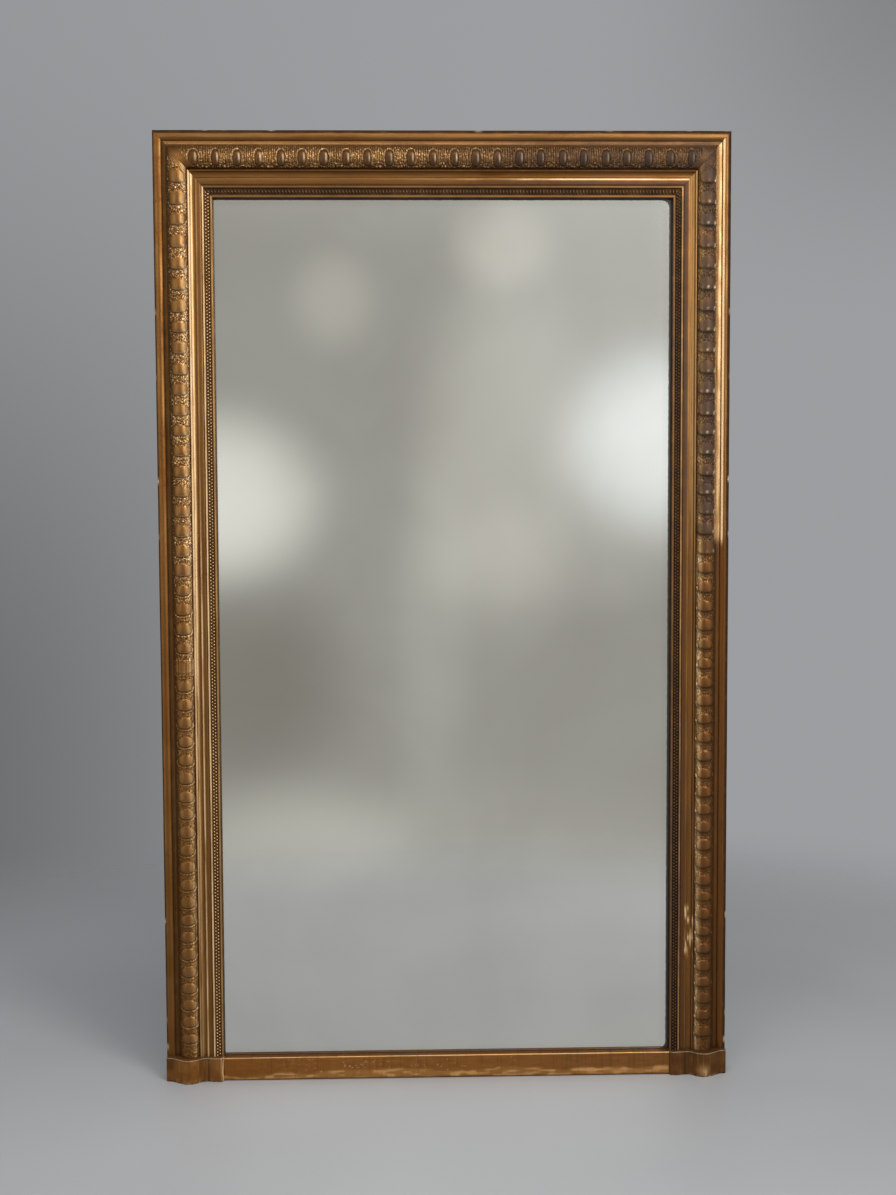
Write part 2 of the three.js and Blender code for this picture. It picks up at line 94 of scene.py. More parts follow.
# Over this length beside a mitre the carving is eased into its plane.
MITRE_CALM = 15 * MM

# Arrises steeper than these angles, in degrees, stay crisp.
ARRIS_ANGLE = 40
FOOT_ARRIS_ANGLE = 50


def length(name, description, default):
    """A size in metres that the panel shows."""
    return FloatProperty(
        name=name, description=description, default=default, min=0.0, precision=4, unit="LENGTH"
    )


def colour(name, description, default):
    """A linear colour that the panel shows."""
    return FloatVectorProperty(
        name=name, description=description, default=default, size=3, min=0.0, max=1.0,
        subtype="COLOR",
    )


class MirrorMoulding(PropertyGroup):
    """Sizes of the four strips' sections that the construction's boxes don't give."""

    lip_edge: length("Lip edge", "Height of the lip's two edges", 33 * MM)
    hollow_width: length("Hollow width", "Width of the hollow beside the lip", 9 * MM)
    hollow_floor: length("Hollow floor", "Height of the hollow's floor", 31.5 * MM)
    torus_spring: length("Torus spring", "Height at which the torus springs", 36 * MM)
    fillet_width: length("Fillet width", "Width of the fillet beside the torus", 3 * MM)
    cove_width: length("Cove width", "Width of the cove", 11 * MM)
    cove_floor: length("Cove floor", "Height of the cove's floor", 38 * MM)
    ovolo_crown: length("Ovolo crown", "Height of the ovolo at its arris", 42 * MM)
    ovolo_edge: length("Ovolo edge", "Height of the ovolo at its inner edge", 39 * MM)
    sight_fillet_width: length("Sight fillet", "Width of the fillet beside the pearls", 4 * MM)
    sight_fillet_face: length("Sight fillet face", "Height of that fillet", 42.5 * MM)
    pearl_band_width: length("Pearl band", "Width of the sunk band of pearls", 12 * MM)
    pearl_floor: length("Pearl floor", "Height of the ground below the pearls", 38 * MM)
    sight_radius: length("Sight radius", "Rounding of the lip beside the glass", 2 * MM)
    lip_step: length("Lip step", "Distance between rows along the lip", 9 * MM)
    strip_step: length("Strip step", "Distance between rows along a plain strip", 12 * MM)
    profile_step: length("Profile step", "Distance between points of a smooth section", 0.8 * MM)
    arris_rounding: length("Arris rounding", "How far worn arrises are rounded", 1.2 * MM)


class MirrorCarving(PropertyGroup):
    """Sizes of the egg band and of the pearls."""

    head_pitch: length("Head pitch", "Distance between eggs on the head", 41.4 * MM)
    top_pitch: length("Top pitch", "Distance between eggs at the jambs' tops", 41.5 * MM)
    foot_pitch: length("Foot pitch", "Distance between eggs at the jambs' feet", 33.5 * MM)
    foot_margin: length("Foot margin", "From a foot block to the lowest egg", 38 * MM)
    mitre_margin: length("Mitre margin", "From a mitre to the jamb's first egg", 43 * MM)
    head_margin: length("Head margin", "From a mitre to the head's first egg", 32.5 * MM)
    egg_share: FloatProperty(
        name="Egg share", description="Half width of a jamb's egg as a share of the pitch",
        default=0.26, min=0.1, max=0.4,
    )
    head_egg_share: FloatProperty(
        name="Head egg share", description="Half width of the head's egg as a share of the pitch",
        default=0.175, min=0.1, max=0.4,
    )
    egg_reach: length("Egg reach", "Half length of an upper jamb egg", 21 * MM)
    low_egg_reach: length("Low egg reach", "Half length of a jamb's lower egg", 20 * MM)
    head_egg_reach: length("Head egg reach", "Half length of the head's egg", 17 * MM)
    depth: length("Depth", "Depth of the carving below the torus", 3.6 * MM)
    moat: length("Moat", "Width of the groove round an egg", 1.5 * MM)
    rib_spacing: length("Rib spacing", "Distance between the ribs of a leaf", 4.1 * MM)
    leaf_foot: length("Leaf foot", "Height below which the leaves turn to plain ribs", 0.88)
    left_repair: length("Left repair", "Height of the plain reeded block on the left jamb", 0.832)
    right_repair: length("Right repair", "Height of the plain block on the right jamb", 1.030)
    section_step: length("Section step", "Distance between points across the egg band", 1.2 * MM)
    carving_step: length("Carving step", "Distance between points along the egg band", 1.3 * MM)
    pearl_pitch: length("Pearl pitch", "Distance between two pearls of a jamb's row", 6.4 * MM)
    pearl_radius: length("Pearl radius", "Radius of a pearl", 2.15 * MM)
    pearl_sway: length("Pearl sway", "Distance of a jamb's pearls from the band's middle", 2.5 * MM)
    tick_reach: length("Tick reach", "Half length of the head's long pearls", 4.3 * MM)


class MirrorFinish(PropertyGroup):
    """Colours of the finishes."""

    leaf: colour("Leaf", "Gold leaf", (0.245, 0.118, 0.036))
    deep_leaf: colour("Deep leaf", "Gold leaf under old toner", (0.145, 0.054, 0.011))
    # Bright leaf and pale leaf are also the colours of the painted highlights.
    bright_rub_and_highlight: colour("Bright leaf", "Gold leaf without toner", (0.45, 0.255, 0.100))
    pale_rub_and_highlight: colour("Pale leaf", "Leaf and gesso rubbed bright on arrises", (0.84, 0.60, 0.34))
    bole: colour("Bole", "Red bole where the leaf is rubbed through", (0.165, 0.060, 0.014))
    # Gesso is also the colour of the painted glints on the eggs, and grime that of the painted shade.
    gesso: colour("Gesso", "Pale gesso at chips", (0.72, 0.58, 0.40))
    grime_and_shade: colour("Grime", "Dark dirt in the carving", (0.018, 0.0085, 0.003))
    smoke: colour("Smoke", "Grey-brown toner on the dark parts", (0.060, 0.044, 0.040))
    silver: colour("Silver", "Old silvering behind glass", (0.82, 0.825, 0.79))
    loss: colour("Loss", "Backing where the silvering is lost", (0.026, 0.016, 0.010))
    pine_light: colour("Pine light", "Spring wood of the core", (0.50, 0.30, 0.145))
    pine_dark: colour("Pine dark", "Summer wood of the core", (0.27, 0.135, 0.055))
    board_light: colour("Board light", "Spring wood of the backboards", (0.31, 0.19, 0.105))
    board_dark: colour("Board dark", "Summer wood of the backboards", (0.15, 0.08, 0.04))
    oak_light: colour("Oak light", "Pegs", (0.22, 0.12, 0.055))
    oak_dark: colour("Oak dark", "Pores of the pegs", (0.09, 0.045, 0.02))
    iron: colour("Iron", "Forged iron", (0.085, 0.072, 0.062))
    rust: colour("Rust", "Rust on the iron", (0.16, 0.062, 0.024))


class MirrorStage(PropertyGroup):
    """Camera, floor and light."""

    camera_place: FloatVectorProperty(
        name="Camera place", description="Where the camera stands",
        default=(-0.089, -3.2298, 1.1814), size=3, unit="LENGTH",
    )
    yaw: FloatProperty(
        name="Yaw", description="Turn of the camera to the right",
        default=math.radians(1.673), unit="ROTATION",
    )
    pitch: FloatProperty(
        name="Pitch", description="Tilt of the camera downwards",
        default=math.radians(4.029), unit="ROTATION",
    )
    roll: FloatProperty(
        name="Roll", description="Roll of the camera", default=math.radians(-0.252), unit="ROTATION"
    )
    lens: FloatProperty(name="Lens", description="Focal length in millimetres", default=50.0)
    floor: colour("Floor", "Plain pale floor", (0.52, 0.54, 0.570))
    backdrop: colour("Backdrop", "Plain background", (0.335, 0.34, 0.352))
    room: colour("Room", "Light that the studio throws on the front", (0.370, 0.362, 0.334))
    key_power: FloatProperty(name="Key", description="Power of the right softbox", default=36.0)
    fill_power: FloatProperty(name="Fill", description="Power of the left softbox", default=9.0)
    top_power: FloatProperty(name="Top", description="Power of the upper softbox", default=29.0)


# ---------------------------------------------------------------- shapes


def unit(values):
    """Keeps values between 0 and 1."""
    return np.clip(values, 0.0, 1.0)


def eased(share):
    """Changes an even rise from 0 to 1 into one that starts and ends softly."""
    return share * share * (3 - 2 * share)


def ramp(values, low, high):
    """0 below low, 1 above high, with a smooth rise between."""
    return eased(unit((values - low) / (high - low)))


def fall(values, low, high):
    """1 below low, 0 above high, with a smooth fall between."""
    return 1 - ramp(values, low, high)


def spot(values, middle, width, power=2):
    """A soft spot: 1 at its middle, fading within about its width on both sides."""
    return np.exp(-(((values - middle) / width) ** power))


def ribs(phase):
    """Rounded ribs: 1 on each whole number, 0 half way between."""
    return (0.5 + 0.5 * np.cos(2 * math.pi * phase)) ** 0.75


def stripe(values, middle, half):
    """A soft stripe: 1 at its middle, 0 from half its width outwards."""
    return unit(1 - np.abs(values - middle) / half)


def dome(distance):
    """A round profile: 1 at distance 0, 0 from distance 1."""
    return np.sqrt(unit(1 - distance * distance))


def drift(values, spacing, seed, strength=1.0):
    """Smooth noise along a line, from -strength to strength."""
    size = 4096
    table = np.random.default_rng(seed).uniform(-1, 1, size)
    places = np.asarray(values, float) / spacing
    cell = np.floor(places).astype(int)
    share = eased(places - cell)
    return strength * (table[cell % size] * (1 - share) + table[(cell + 1) % size] * share)


def patches(along, across, spacing, seed):
    """Smooth noise over a surface, from 0 to 1."""
    size = 512
    table = np.random.default_rng(seed).uniform(0, 1, (size, size))
    rows, columns = np.asarray(along, float) / spacing, np.asarray(across, float) / spacing
    row, column = np.floor(rows).astype(int), np.floor(columns).astype(int)
    down, aside = eased(rows - row), eased(columns - column)
    row, below = row % size, (row + 1) % size
    column, beside = column % size, (column + 1) % size
    near = table[row, column] * (1 - down) + table[below, column] * down
    far = table[row, beside] * (1 - down) + table[below, beside] * down
    return near * (1 - aside) + far * aside


def line(start, end, count=12):
    """Points of a straight line, without its start."""
    share = np.linspace(0, 1, count + 1)[1:, None]
    return np.asarray(start) * (1 - share) + np.asarray(end) * share


def quadratic(start, pull, end, count=24):
    """Points of a curve that is drawn towards pull, without its start."""
    t = np.linspace(0, 1, count + 1)[1:, None]
    start, pull, end = (np.asarray(p) for p in (start, pull, end))
    return start * (1 - t) ** 2 + pull * 2 * t * (1 - t) + end * t * t


def half_ellipse(centre, half_width, rise, count=96):
    """Points of the upper half of an ellipse, without its start."""
    angle = np.linspace(math.pi, 0, count + 1)[1:]
    return np.stack(
        [centre[0] + half_width * np.cos(angle), centre[1] + rise * np.sin(angle)], axis=1
    )


def spline(points, count=12):
    """An even Catmull-Rom curve through the points."""
    points = np.asarray(points, float)
    padded = np.vstack([points[:1], points, points[-1:]])
    pieces = [points[:1]]
    for a, b, c, d in zip(padded, padded[1:], padded[2:], padded[3:]):
        t = np.linspace(0, 1, count + 1)[1:, None]
        pieces.append(
            0.5 * (2 * b + (c - a) * t + (2 * a - 5 * b + 4 * c - d) * t**2
                   + (3 * b - 3 * c + d - a) * t**3)
        )
    return np.vstack(pieces)


def path_length(path):
    """The distance along a path to each of its points."""
    return np.concatenate([[0], np.cumsum(np.linalg.norm(np.diff(path, axis=0), axis=1))])


def resample(path, step):
    """The same path with evenly spaced points."""
    at = path_length(path)
    count = max(2, round(at[-1] / step))
    wanted = np.linspace(0, at[-1], count + 1)
    return np.stack([np.interp(wanted, at, path[:, k]) for k in (0, 1)], axis=1)


def soften(path, step, rounding):
    """Rounds the arrises of a path by about the rounding."""
    fine = resample(path, step / 4)
    half = max(1, round(rounding / (step / 4) / 2))
    padded = np.vstack([np.repeat(fine[:1], half, 0), fine, np.repeat(fine[-1:], half, 0)])
    kernel = np.ones(2 * half + 1) / (2 * half + 1)
    smooth = np.stack([np.convolve(padded[:, k], kernel, "valid") for k in (0, 1)], axis=1)
    smooth[0], smooth[-1] = fine[0], fine[-1]
    return resample(smooth, step)


def outward(path):
    """Unit normals of an open path, on its front side."""
    tangent = np.gradient(path, axis=0)
    tangent /= np.linalg.norm(tangent, axis=1)[:, None]
    return np.stack([-tangent[:, 1], tangent[:, 0]], axis=1)


def loft(name, rows, ring=False):
    """A mesh through rows of closed outlines, capped at both ends unless it is a ring."""
    count, around = rows.shape[:2]
    grid = np.arange(count * around).reshape(count, around)
    here = grid if ring else grid[:-1]
    there = np.roll(grid, -1, axis=0) if ring else grid[1:]
    quads = np.stack(
        [here, np.roll(here, -1, axis=1), np.roll(there, -1, axis=1), there], axis=-1
    ).reshape(-1, 4)
    points = rows.reshape(-1, 3)
    centred = points - points.mean(0)
    a, b, c, d = (centred[quads[:, k]] for k in range(4))
    volume = (np.cross(b - a, d - a) * a).sum() + (np.cross(d - c, b - c) * c).sum()
    faces = quads.tolist()
    if not ring:
        faces += [grid[0, ::-1].tolist(), grid[-1].tolist()]
    mesh = bpy.data.meshes.new(name)
    mesh.from_pydata(points.tolist(), [], faces)
    if volume < 0:
        mesh.flip_normals()
    mesh.shade_smooth()
    mesh.update()
    return link(name, mesh)


def link(name, data):
    """An object for the data, linked to the scene."""
    piece = bpy.data.objects.new(name, data)
    bpy.context.scene.collection.objects.link(piece)
    return piece


def paint(piece, **masks):
    """Stores masks over the surface, one value for each point, for the materials to read."""
    for name, values in masks.items():
        layer = piece.data.attributes.new(name, "FLOAT", "POINT")
        layer.data.foreach_set("value", np.ascontiguousarray(values, dtype=np.float32).ravel())


def sharpen(piece, degrees):
    """Keeps arrises steeper than the angle crisp."""
    piece.data.set_sharp_from_angle(angle=math.radians(degrees))


def mount(piece, slot, material, *nodes):
    """Puts a finished piece on the frame in place of its nodes."""
    piece.data.materials.append(material)
    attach(piece, "frame")
    if nodes:
        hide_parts(*nodes)
    return piece


def dress(start, material):
    """Gives the nodes whose names have this start, or one of these, their material."""
    for name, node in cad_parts.items():
        if name.startswith(start):
            node.data.materials.clear()
            node.data.materials.append(material)


# ---------------------------------------------------------------- strips


def head_line(u):
    """The height at which the head carries the line u."""
    return HEIGHT - HEAD_SHARE * u


def strip_ends(member, u):
    """Where a strip starts and ends along its member, for each line u."""
    if member == "head":
        reach = HALF_WIDTH - u - MITRE_GAP
        return -reach, reach
    return np.full_like(u, FOOT_TOP), head_line(u)


def strip_points(member, u, h, along):
    """Points of the frame from places on a member."""
    if member == "head":
        return np.stack([along, WALL - h, head_line(u)], axis=-1)
    return np.stack([SIDES[member] * (HALF_WIDTH - u), WALL - h, along], axis=-1)


def mitre_distance(member, u, along):
    """How far a place on a member is from its nearest mitre, along the member."""
    if member == "head":
        return HALF_WIDTH - u - np.abs(along)
    return head_line(u) - along


def run_strip(name, member, path, step, relief=None):
    """Runs a front path along a member and closes it over the core.

    relief(member, u, along, arc) gives each point's rise along the section's normal.
    Returns the piece, and u and along of its front points as arrays of rows.
    """
    front = len(path)
    normals = outward(path)
    arc = path_length(path)
    start, end = strip_ends(member, path[:, 0])
    rows = max(2, round(float((end - start).max()) / step))
    share = np.linspace(0, 1, rows + 1)[:, None]
    along = start * (1 - share) + end * share
    u = np.broadcast_to(path[:, 0], along.shape)
    h = np.broadcast_to(path[:, 1], along.shape)
    rise = np.zeros_like(along) if relief is None else relief(member, u, along, arc)
    bent_u = u + rise * normals[:, 0]
    bent_h = h + rise * normals[:, 1]
    # The ends stay in the mitre's plane however deep the carving is there.
    near = fall(mitre_distance(member, u, along), 0, MITRE_CALM)
    way = np.sign(along) if member == "head" else 1
    placed = along - (bent_u - u) * near * way * (1 if member == "head" else HEAD_SHARE)
    back_u = np.broadcast_to([path[-1, 0], path[0, 0]], (rows + 1, 2))
    back_h = np.full_like(back_u, CORE_FACE if path[0, 0] > 0 else 0.0)
    back_start, back_end = strip_ends(member, back_u[0])
    back_along = back_start * (1 - share) + back_end * share
    points = np.concatenate([
        strip_points(member, bent_u, bent_h, placed),
        strip_points(member, back_u, back_h, back_along),
    ], axis=1)
    piece = loft(name, points)
    return piece, u, along, rise, front


def with_back(values, front):
    """Adds the two points behind the front path to rows of masks."""
    rows = len(values)
    return np.concatenate([np.broadcast_to(values, (rows, front)), np.zeros((rows, 2))], axis=1)


def lip_path(sizes):
    """The frame's outer side and the crowned lip."""
    edge = sizes.lip_edge
    rim = quadratic((0, edge), (LIP_END / 2, 2 * LIP_CROWN - edge), (LIP_END, edge))
    path = np.vstack([[(0, 0)], line((0, 0), (0, edge), 8), rim])
    return soften(path, sizes.profile_step, sizes.arris_rounding)


def band_path(sizes):
    """The hollow and the torus, as the carver starts from them."""
    spring, floor = sizes.torus_spring, sizes.hollow_floor
    start = LIP_END + sizes.hollow_width
    half = (BAND_END - start) / 2
    hollow = quadratic((LIP_END, floor), (start, floor), (start, spring))
    round_part = half_ellipse((start + half, spring), half, BAND_CROWN - spring)
    return np.vstack([[(LIP_END, floor)], hollow, round_part])


def cove_path(sizes):
    """The fillet beside the torus, the cove and the ovolo."""
    fillet_end = BAND_END + sizes.fillet_width
    arris = fillet_end + sizes.cove_width
    floor, crown = sizes.cove_floor, sizes.ovolo_crown
    path = np.vstack([
        [(BAND_END, CORE_FACE)],
        line((BAND_END, CORE_FACE), (BAND_END, FILLET_FACE)),
        line((BAND_END, FILLET_FACE), (fillet_end, FILLET_FACE)),
        quadratic((fillet_end, FILLET_FACE), (fillet_end, floor), (arris, floor)),
        line((arris, floor), (arris, crown)),
        quadratic((arris, crown), (COVE_END, crown), (COVE_END, sizes.ovolo_edge)),
    ])
    return soften(path, sizes.profile_step, sizes.arris_rounding)


def sight_path(sizes):
    """The inner fillet, the sunk band of the pearls and the lip beside the glass."""
    pearl_start = COVE_END + sizes.sight_fillet_width
    pearl_end = pearl_start + sizes.pearl_band_width
    face, floor, radius = sizes.sight_fillet_face, sizes.pearl_floor, sizes.sight_radius
    path = np.vstack([
        [(COVE_END, CORE_FACE)],
        line((COVE_END, CORE_FACE), (COVE_END, face)),
        line((COVE_END, face), (pearl_start, face)),
        line((pearl_start, face), (pearl_start, floor)),
        line((pearl_start, floor), (pearl_end, floor)),
        line((pearl_end, floor), (pearl_end, SIGHT_FACE)),
        line((pearl_end, SIGHT_FACE), (FACE_END - radius, SIGHT_FACE)),
        quadratic((FACE_END - radius, SIGHT_FACE), (FACE_END, SIGHT_FACE),
                  (FACE_END, SIGHT_FACE - radius)),
        line((FACE_END, SIGHT_FACE - radius), (FACE_END, CORE_FACE)),
    ])
    return soften(path, sizes.profile_step, sizes.arris_rounding * 0.7)


# ---------------------------------------------------------------- carving


WRINKLE_SIZE = 4.5 * MM
GRIT_SIZE = 1.9 * MM
# The torus turns from its outer slope to its carved face between these lines.
OUTER_SLOPE = (27 * MM, 33 * MM)


def egg_centres(first, last, first_pitch, last_pitch):
    """Places of the eggs, their pitch changing evenly from one end to the other."""
    count = round(2 * (last - first) / (first_pitch + last_pitch))
    steps = np.linspace(first_pitch, last_pitch, count)
    steps *= (last - first) / steps.sum()
    return first + np.concatenate([[0], np.cumsum(steps)])


def member_eggs(member, sizes, crown_line):
    """Places of a member's eggs along the torus's crown line."""
    if member == "head":
        reach = HALF_WIDTH - crown_line - sizes.head_margin
        return egg_centres(-reach, reach, sizes.head_pitch, sizes.head_pitch)
    first = FOOT_TOP + sizes.foot_margin
    last = HEIGHT - crown_line - sizes.mitre_margin
    return egg_centres(first, last, sizes.foot_pitch, sizes.top_pitch)


def egg_outline(a, c, half_width, reach):
    """1 on the outline of an egg that lies across the band, 0 at its middle."""
    power = 2.5
    return (np.abs(a / half_width) ** power + np.abs(c / reach) ** power) ** (1 / power)


def outside(out, a, c):
    """About how far a place lies outside the egg on whose outline out is 1."""
    return (out - 1) * np.hypot(a, c) / np.maximum(out, 0.05)


def egg_places(member, sizes, arc_middle, seed, u, along, arc):
    """The nearest egg to each place: its number, a along and c across it, and its sizes."""
    centres = member_eggs(member, sizes, float(np.interp(arc_middle, arc, u[0])))
    middles = (centres[1:] + centres[:-1]) / 2
    number = np.clip(np.searchsorted(middles, along), 0, len(centres) - 1)
    half_gap = np.gradient(centres)[number] / 2
    chance = np.random.default_rng(seed)
    shift = chance.normal(0, 0.6 * MM, (2, len(centres)))
    swell = chance.normal(1, 0.06, (2, len(centres)))
    worn = chance.uniform(0.0, 1.0, len(centres))
    across = np.broadcast_to(arc - arc_middle, along.shape)
    leafy = 1 if member == "head" else ramp(along, sizes.leaf_foot, sizes.leaf_foot + 0.2)
    full_reach = sizes.head_egg_reach if member == "head" else sizes.egg_reach
    reach = sizes.low_egg_reach + (full_reach - sizes.low_egg_reach) * leafy
    share = sizes.head_egg_share if member == "head" else sizes.egg_share
    repaired = sizes.left_repair if member == "left" else sizes.right_repair
    return {
        "number": number, "across": across, "half_gap": half_gap, "leafy": leafy,
        "a": along - centres[number] - shift[0][number],
        "c": across - (2.5 if member == "head" else 0.5) * MM - shift[1][number],
        "reach": reach * swell[1][number],
        "half_width": 2 * half_gap * share * swell[0][number],
        "worn": worn[number],
        "block": number == int(np.argmin(np.abs(centres - repaired))),
    }


def jamb_eggs(sizes, egg, wrinkle, grit):
    """Level of a jamb's carving: each egg fades out above and is undercut below."""
    a, c = egg["a"], egg["c"]
    collar_line, collar_half = 3.8 * MM, 2.2 * MM
    below = fall(a, -2 * MM, 4 * MM)
    half_width = egg["half_width"] * (1 + 0.35 * (1 - below))
    out = egg_outline(a, c, half_width, egg["reach"])
    distance = outside(out, a, c)
    vein = ribs((0.9 * a + 0.8 * np.abs(c)) / sizes.rib_spacing + 0.8 * wrinkle)
    ground = -0.70 + (0.12 + 0.14 * egg["leafy"]) * vein + (0.20 + 0.12 * egg["leafy"]) * grit
    # Lower down the eggs have a thin collar below them.
    collar = dome((distance - collar_line) / collar_half) * (1 - egg["leafy"]) * below
    level = ground + 0.22 * collar
    moat = fall(distance, 0.4 * MM, sizes.moat + 0.6 * MM) * below
    level = level * (1 - moat) - 1.0 * moat
    skirt = -0.95 * below - (0.62 - 0.2 * grit) * (1 - below)
    body = skirt - skirt * dome(out) ** 0.6 - 0.10 * egg["worn"]
    return np.where(out < 1, body, level)


def head_eggs(sizes, egg, wrinkle, grit):
    """Level of the head's carving: eggs under arches, with ribs and curled tips between them."""
    a, c = egg["a"], egg["c"]
    arch_line, arch_half = 3.0 * MM, 1.5 * MM
    tip_aside, tip_across, tip_radius = 3.2 * MM, 17.5 * MM, 2.9 * MM
    out = egg_outline(a, c, egg["half_width"], egg["reach"])
    distance = outside(out, a, c)
    from_middle = np.maximum(egg["half_gap"] - np.abs(a), 0)
    inner = ramp(c, 4 * MM, 10 * MM)
    ground = -0.85 + 0.55 * ribs(from_middle / sizes.rib_spacing + 0.2 * wrinkle) * (1 - 0.6 * inner)
    ground = ground + (0.10 + 0.35 * inner) * grit
    tip = np.hypot(from_middle - tip_aside, c - tip_across) / tip_radius
    ground = np.where(tip < 1, -0.80 + 0.70 * dome(tip), ground)
    arch = dome((distance - arch_line) / arch_half) * fall(c, 4 * MM, 12 * MM)
    level = np.maximum(ground, -0.95 + 0.75 * arch)
    level = np.where(distance < sizes.moat, -1.0, level)
    body = -0.95 + (0.90 - 0.15 * egg["worn"]) * dome(out)
    return np.where(out < 1, body, level)


def carve_eggs(sizes, arc_middle, seed):
    """Makes the relief function of an egg band."""

    def relief(member, u, along, arc):
        egg = egg_places(member, sizes, arc_middle, seed, u, along, arc)
        across = egg["across"]
        wrinkle = 2 * patches(along, across, WRINKLE_SIZE, seed + 5) - 1
        grit = 2 * patches(along, across, GRIT_SIZE, seed + 6) - 1
        eggs = head_eggs if member == "head" else jamb_eggs
        level = eggs(sizes, egg, wrinkle, grit)
        if member != "head":
            level = repair(member, egg, level)
        level = mitre_leaf(member, u, along, level)
        # The carving fades out towards the hollow, and at the fillet.
        margin = np.maximum(ramp(across, 24 * MM, 27 * MM), ramp(-across, 23 * MM, 28.5 * MM))
        rise = sizes.depth * (level * (1 - margin) - 0.55 * margin)
        edge = ramp(np.minimum(arc - arc[0] - 11 * MM, arc[-1] - arc - 0.4 * MM), 0, 1.8 * MM)
        return rise * edge

    return relief


def egg_marks(member, sizes, arc_middle, seed, u, along, arc):
    """Where the egg band gets painted highlights, where it gets painted shade, and where its ground is.

    Places round an egg are in millimetres here.
    """
    egg = egg_places(member, sizes, arc_middle, seed, u, along, arc)
    a, c, worn = egg["a"] / MM, egg["c"] / MM, egg["worn"]
    out = egg_outline(egg["a"], egg["c"], egg["half_width"], egg["reach"])
    ground = ramp(out, 0.85, 1.15)
    low = -egg["half_width"] / MM
    distance = outside(out, a, c)
    if member == "head":
        # On the head each egg gets a painted highlight on its right flank, and painted shade in its moat
        # and on its left half.
        flank = spot(a, 4.2, 1.2) * spot(c, -2.0, 8.0, power=4)
        moat = spot(distance, 0.6, 1.1) * (1 - 0.5 * ramp(a, 0, 3))
        body = 0.45 * dome(out * 0.95) * fall(a, 1.0, 3.5)
        rubbed = (0.40 + 0.60 * worn) * (1 - 0.6 * ramp(along, -0.1, 0.3))
        return flank * rubbed, unit(0.70 * moat + body), ground
    # Each jamb's egg gets painted highlights in dots just above its lower end, and a painted shadow in a
    # crescent below it.
    rim = 0.40 * spot(distance, -1.8, 1.2) * ramp(-a, 1, 5)
    inner = spot(a, low + 4.2, 2.5) * spot(c, 12.0, 3.0)
    outer = spot(a, low + 5.5, 3.2) * spot(c, -18.0, 3.0)
    middle = spot(a, low + 5.0, 2.2) * spot(c, -1.0, 2.3)
    width = 1.3 if member == "left" else 3.4
    crescent = spot(distance, 0.4 + 0.5 * width, width) * ramp(-a, 2, 6)
    if member == "left":
        glint = (0.6 * rim + (0.65 + 0.6 * worn) * inner) * (0.25 + 0.75 * egg["leafy"])
        return glint, 0.62 * crescent, ground
    glint = 0.2 * rim + 0.35 * worn * inner + (1.1 + 0.6 * worn) * outer + 1.3 * worn * middle
    return glint * ramp(along, 0.98, 1.08), 0.90 * crescent, ground


def repair(member, egg, level):
    """One egg of each jamb gave way to a plain block: reeded on the left, smooth on the right."""
    half_length, half_width, reed_width = 16 * MM, 24 * MM, 8 * MM
    reed_depth = 0.35 if member == "left" else 0.08
    block = egg["block"] & (np.abs(egg["a"]) < half_length) & (np.abs(egg["across"]) < half_width)
    reeds = -0.55 + reed_depth * ribs(egg["across"] / reed_width)
    return np.where(block, reeds, level)


def mitre_leaf(member, u, along, level):
    """A ribbed leaf that lies along each mitre."""
    rib_spacing = 4.6 * MM
    distance = mitre_distance(member, u, along)
    leaf = -0.70 + 0.20 * ribs(distance / rib_spacing) + 0.2 * ramp(-distance, -7 * MM, 0)
    share = fall(distance, 12 * MM, 17.5 * MM)
    return level * (1 - share) + leaf * share


def blurred(values, rows, columns):
    """The mean over a small block of the grid round each point."""
    for axis, half in ((0, rows), (1, columns)):
        edge = [(half + 1, half) if k == axis else (0, 0) for k in (0, 1)]
        total = np.cumsum(np.pad(values, edge, mode="edge"), axis=axis)
        size = values.shape[axis]
        first = np.take(total, np.arange(size), axis=axis)
        last = np.take(total, np.arange(size) + 2 * half + 1, axis=axis)
        values = (last - first) / (2 * half + 1)
    return values


def relief_masks(rise, depth):
    """Where dirt and painted shade gather, and where the leaf is rubbed bright with painted highlights,
    from the carving itself.
    """
    hollow = (blurred(rise, 2, 2) - rise) / depth
    wide = (blurred(rise, 7, 6) - rise) / depth
    crevice = 0.75 * ramp(hollow, 0.03, 0.28) + 0.45 * ramp(wide, 0.08, 0.45)
    ridge = 0.8 * ramp(-hollow, 0.05, 0.22)
    return unit(crevice), unit(ridge)


# ---------------------------------------------------------------- tones of the gilding


# Between these heights the right jamb changes from smoked gold above to brown below.
TONER_CHANGE = (1.045, 1.075)


def height_of(member, u, along):
    """The z of a place on a member."""
    return head_line(u) if member == "head" else along


def side_place(member, u, along):
    """The x of a place on a member."""
    return along if member == "head" else SIDES[member] * (HALF_WIDTH - u)


def toned(member, u, along, base):
    """How brown the leaf is: more towards the foot, and on the right jamb's lower half."""
    low = fall(height_of(member, u, along), 0.15, 1.15)
    tone = base + (0.10 if member == "left" else 0.30) * low
    if member == "right":
        tone = tone + 0.38 * fall(along, *TONER_CHANGE)
    tone = tone + 0.25 * (patches(along, u, 60 * MM, 71) - 0.5)
    return unit(tone)


def smoked(member, u, along, left, right):
    """How dark the toner is, changing from the left jamb to the right one."""
    share = ramp(side_place(member, u, along), -HALF_WIDTH, HALF_WIDTH)
    shade = left + (right - left) * share
    return unit(shade + 0.18 * (patches(along, u, 35 * MM, 83) - 0.5))


def gild(piece, front, **masks):
    """Paints the front masks of a strip, with bare values on its two back points."""
    paint(piece, **{name: with_back(values, front) for name, values in masks.items()})


# ---------------------------------------------------------------- materials


def add_node(tree, kind, inputs=None, **settings):
    """A node with its settings, its sockets set or linked by name or number."""
    node = tree.nodes.new(kind)
    for name, value in settings.items():
        setattr(node, name, value)
    for name, value in (inputs or {}).items():
        if isinstance(value, bpy.types.NodeSocket):
            tree.links.new(value, node.inputs[name])
        else:
            node.inputs[name].default_value = value
    return node


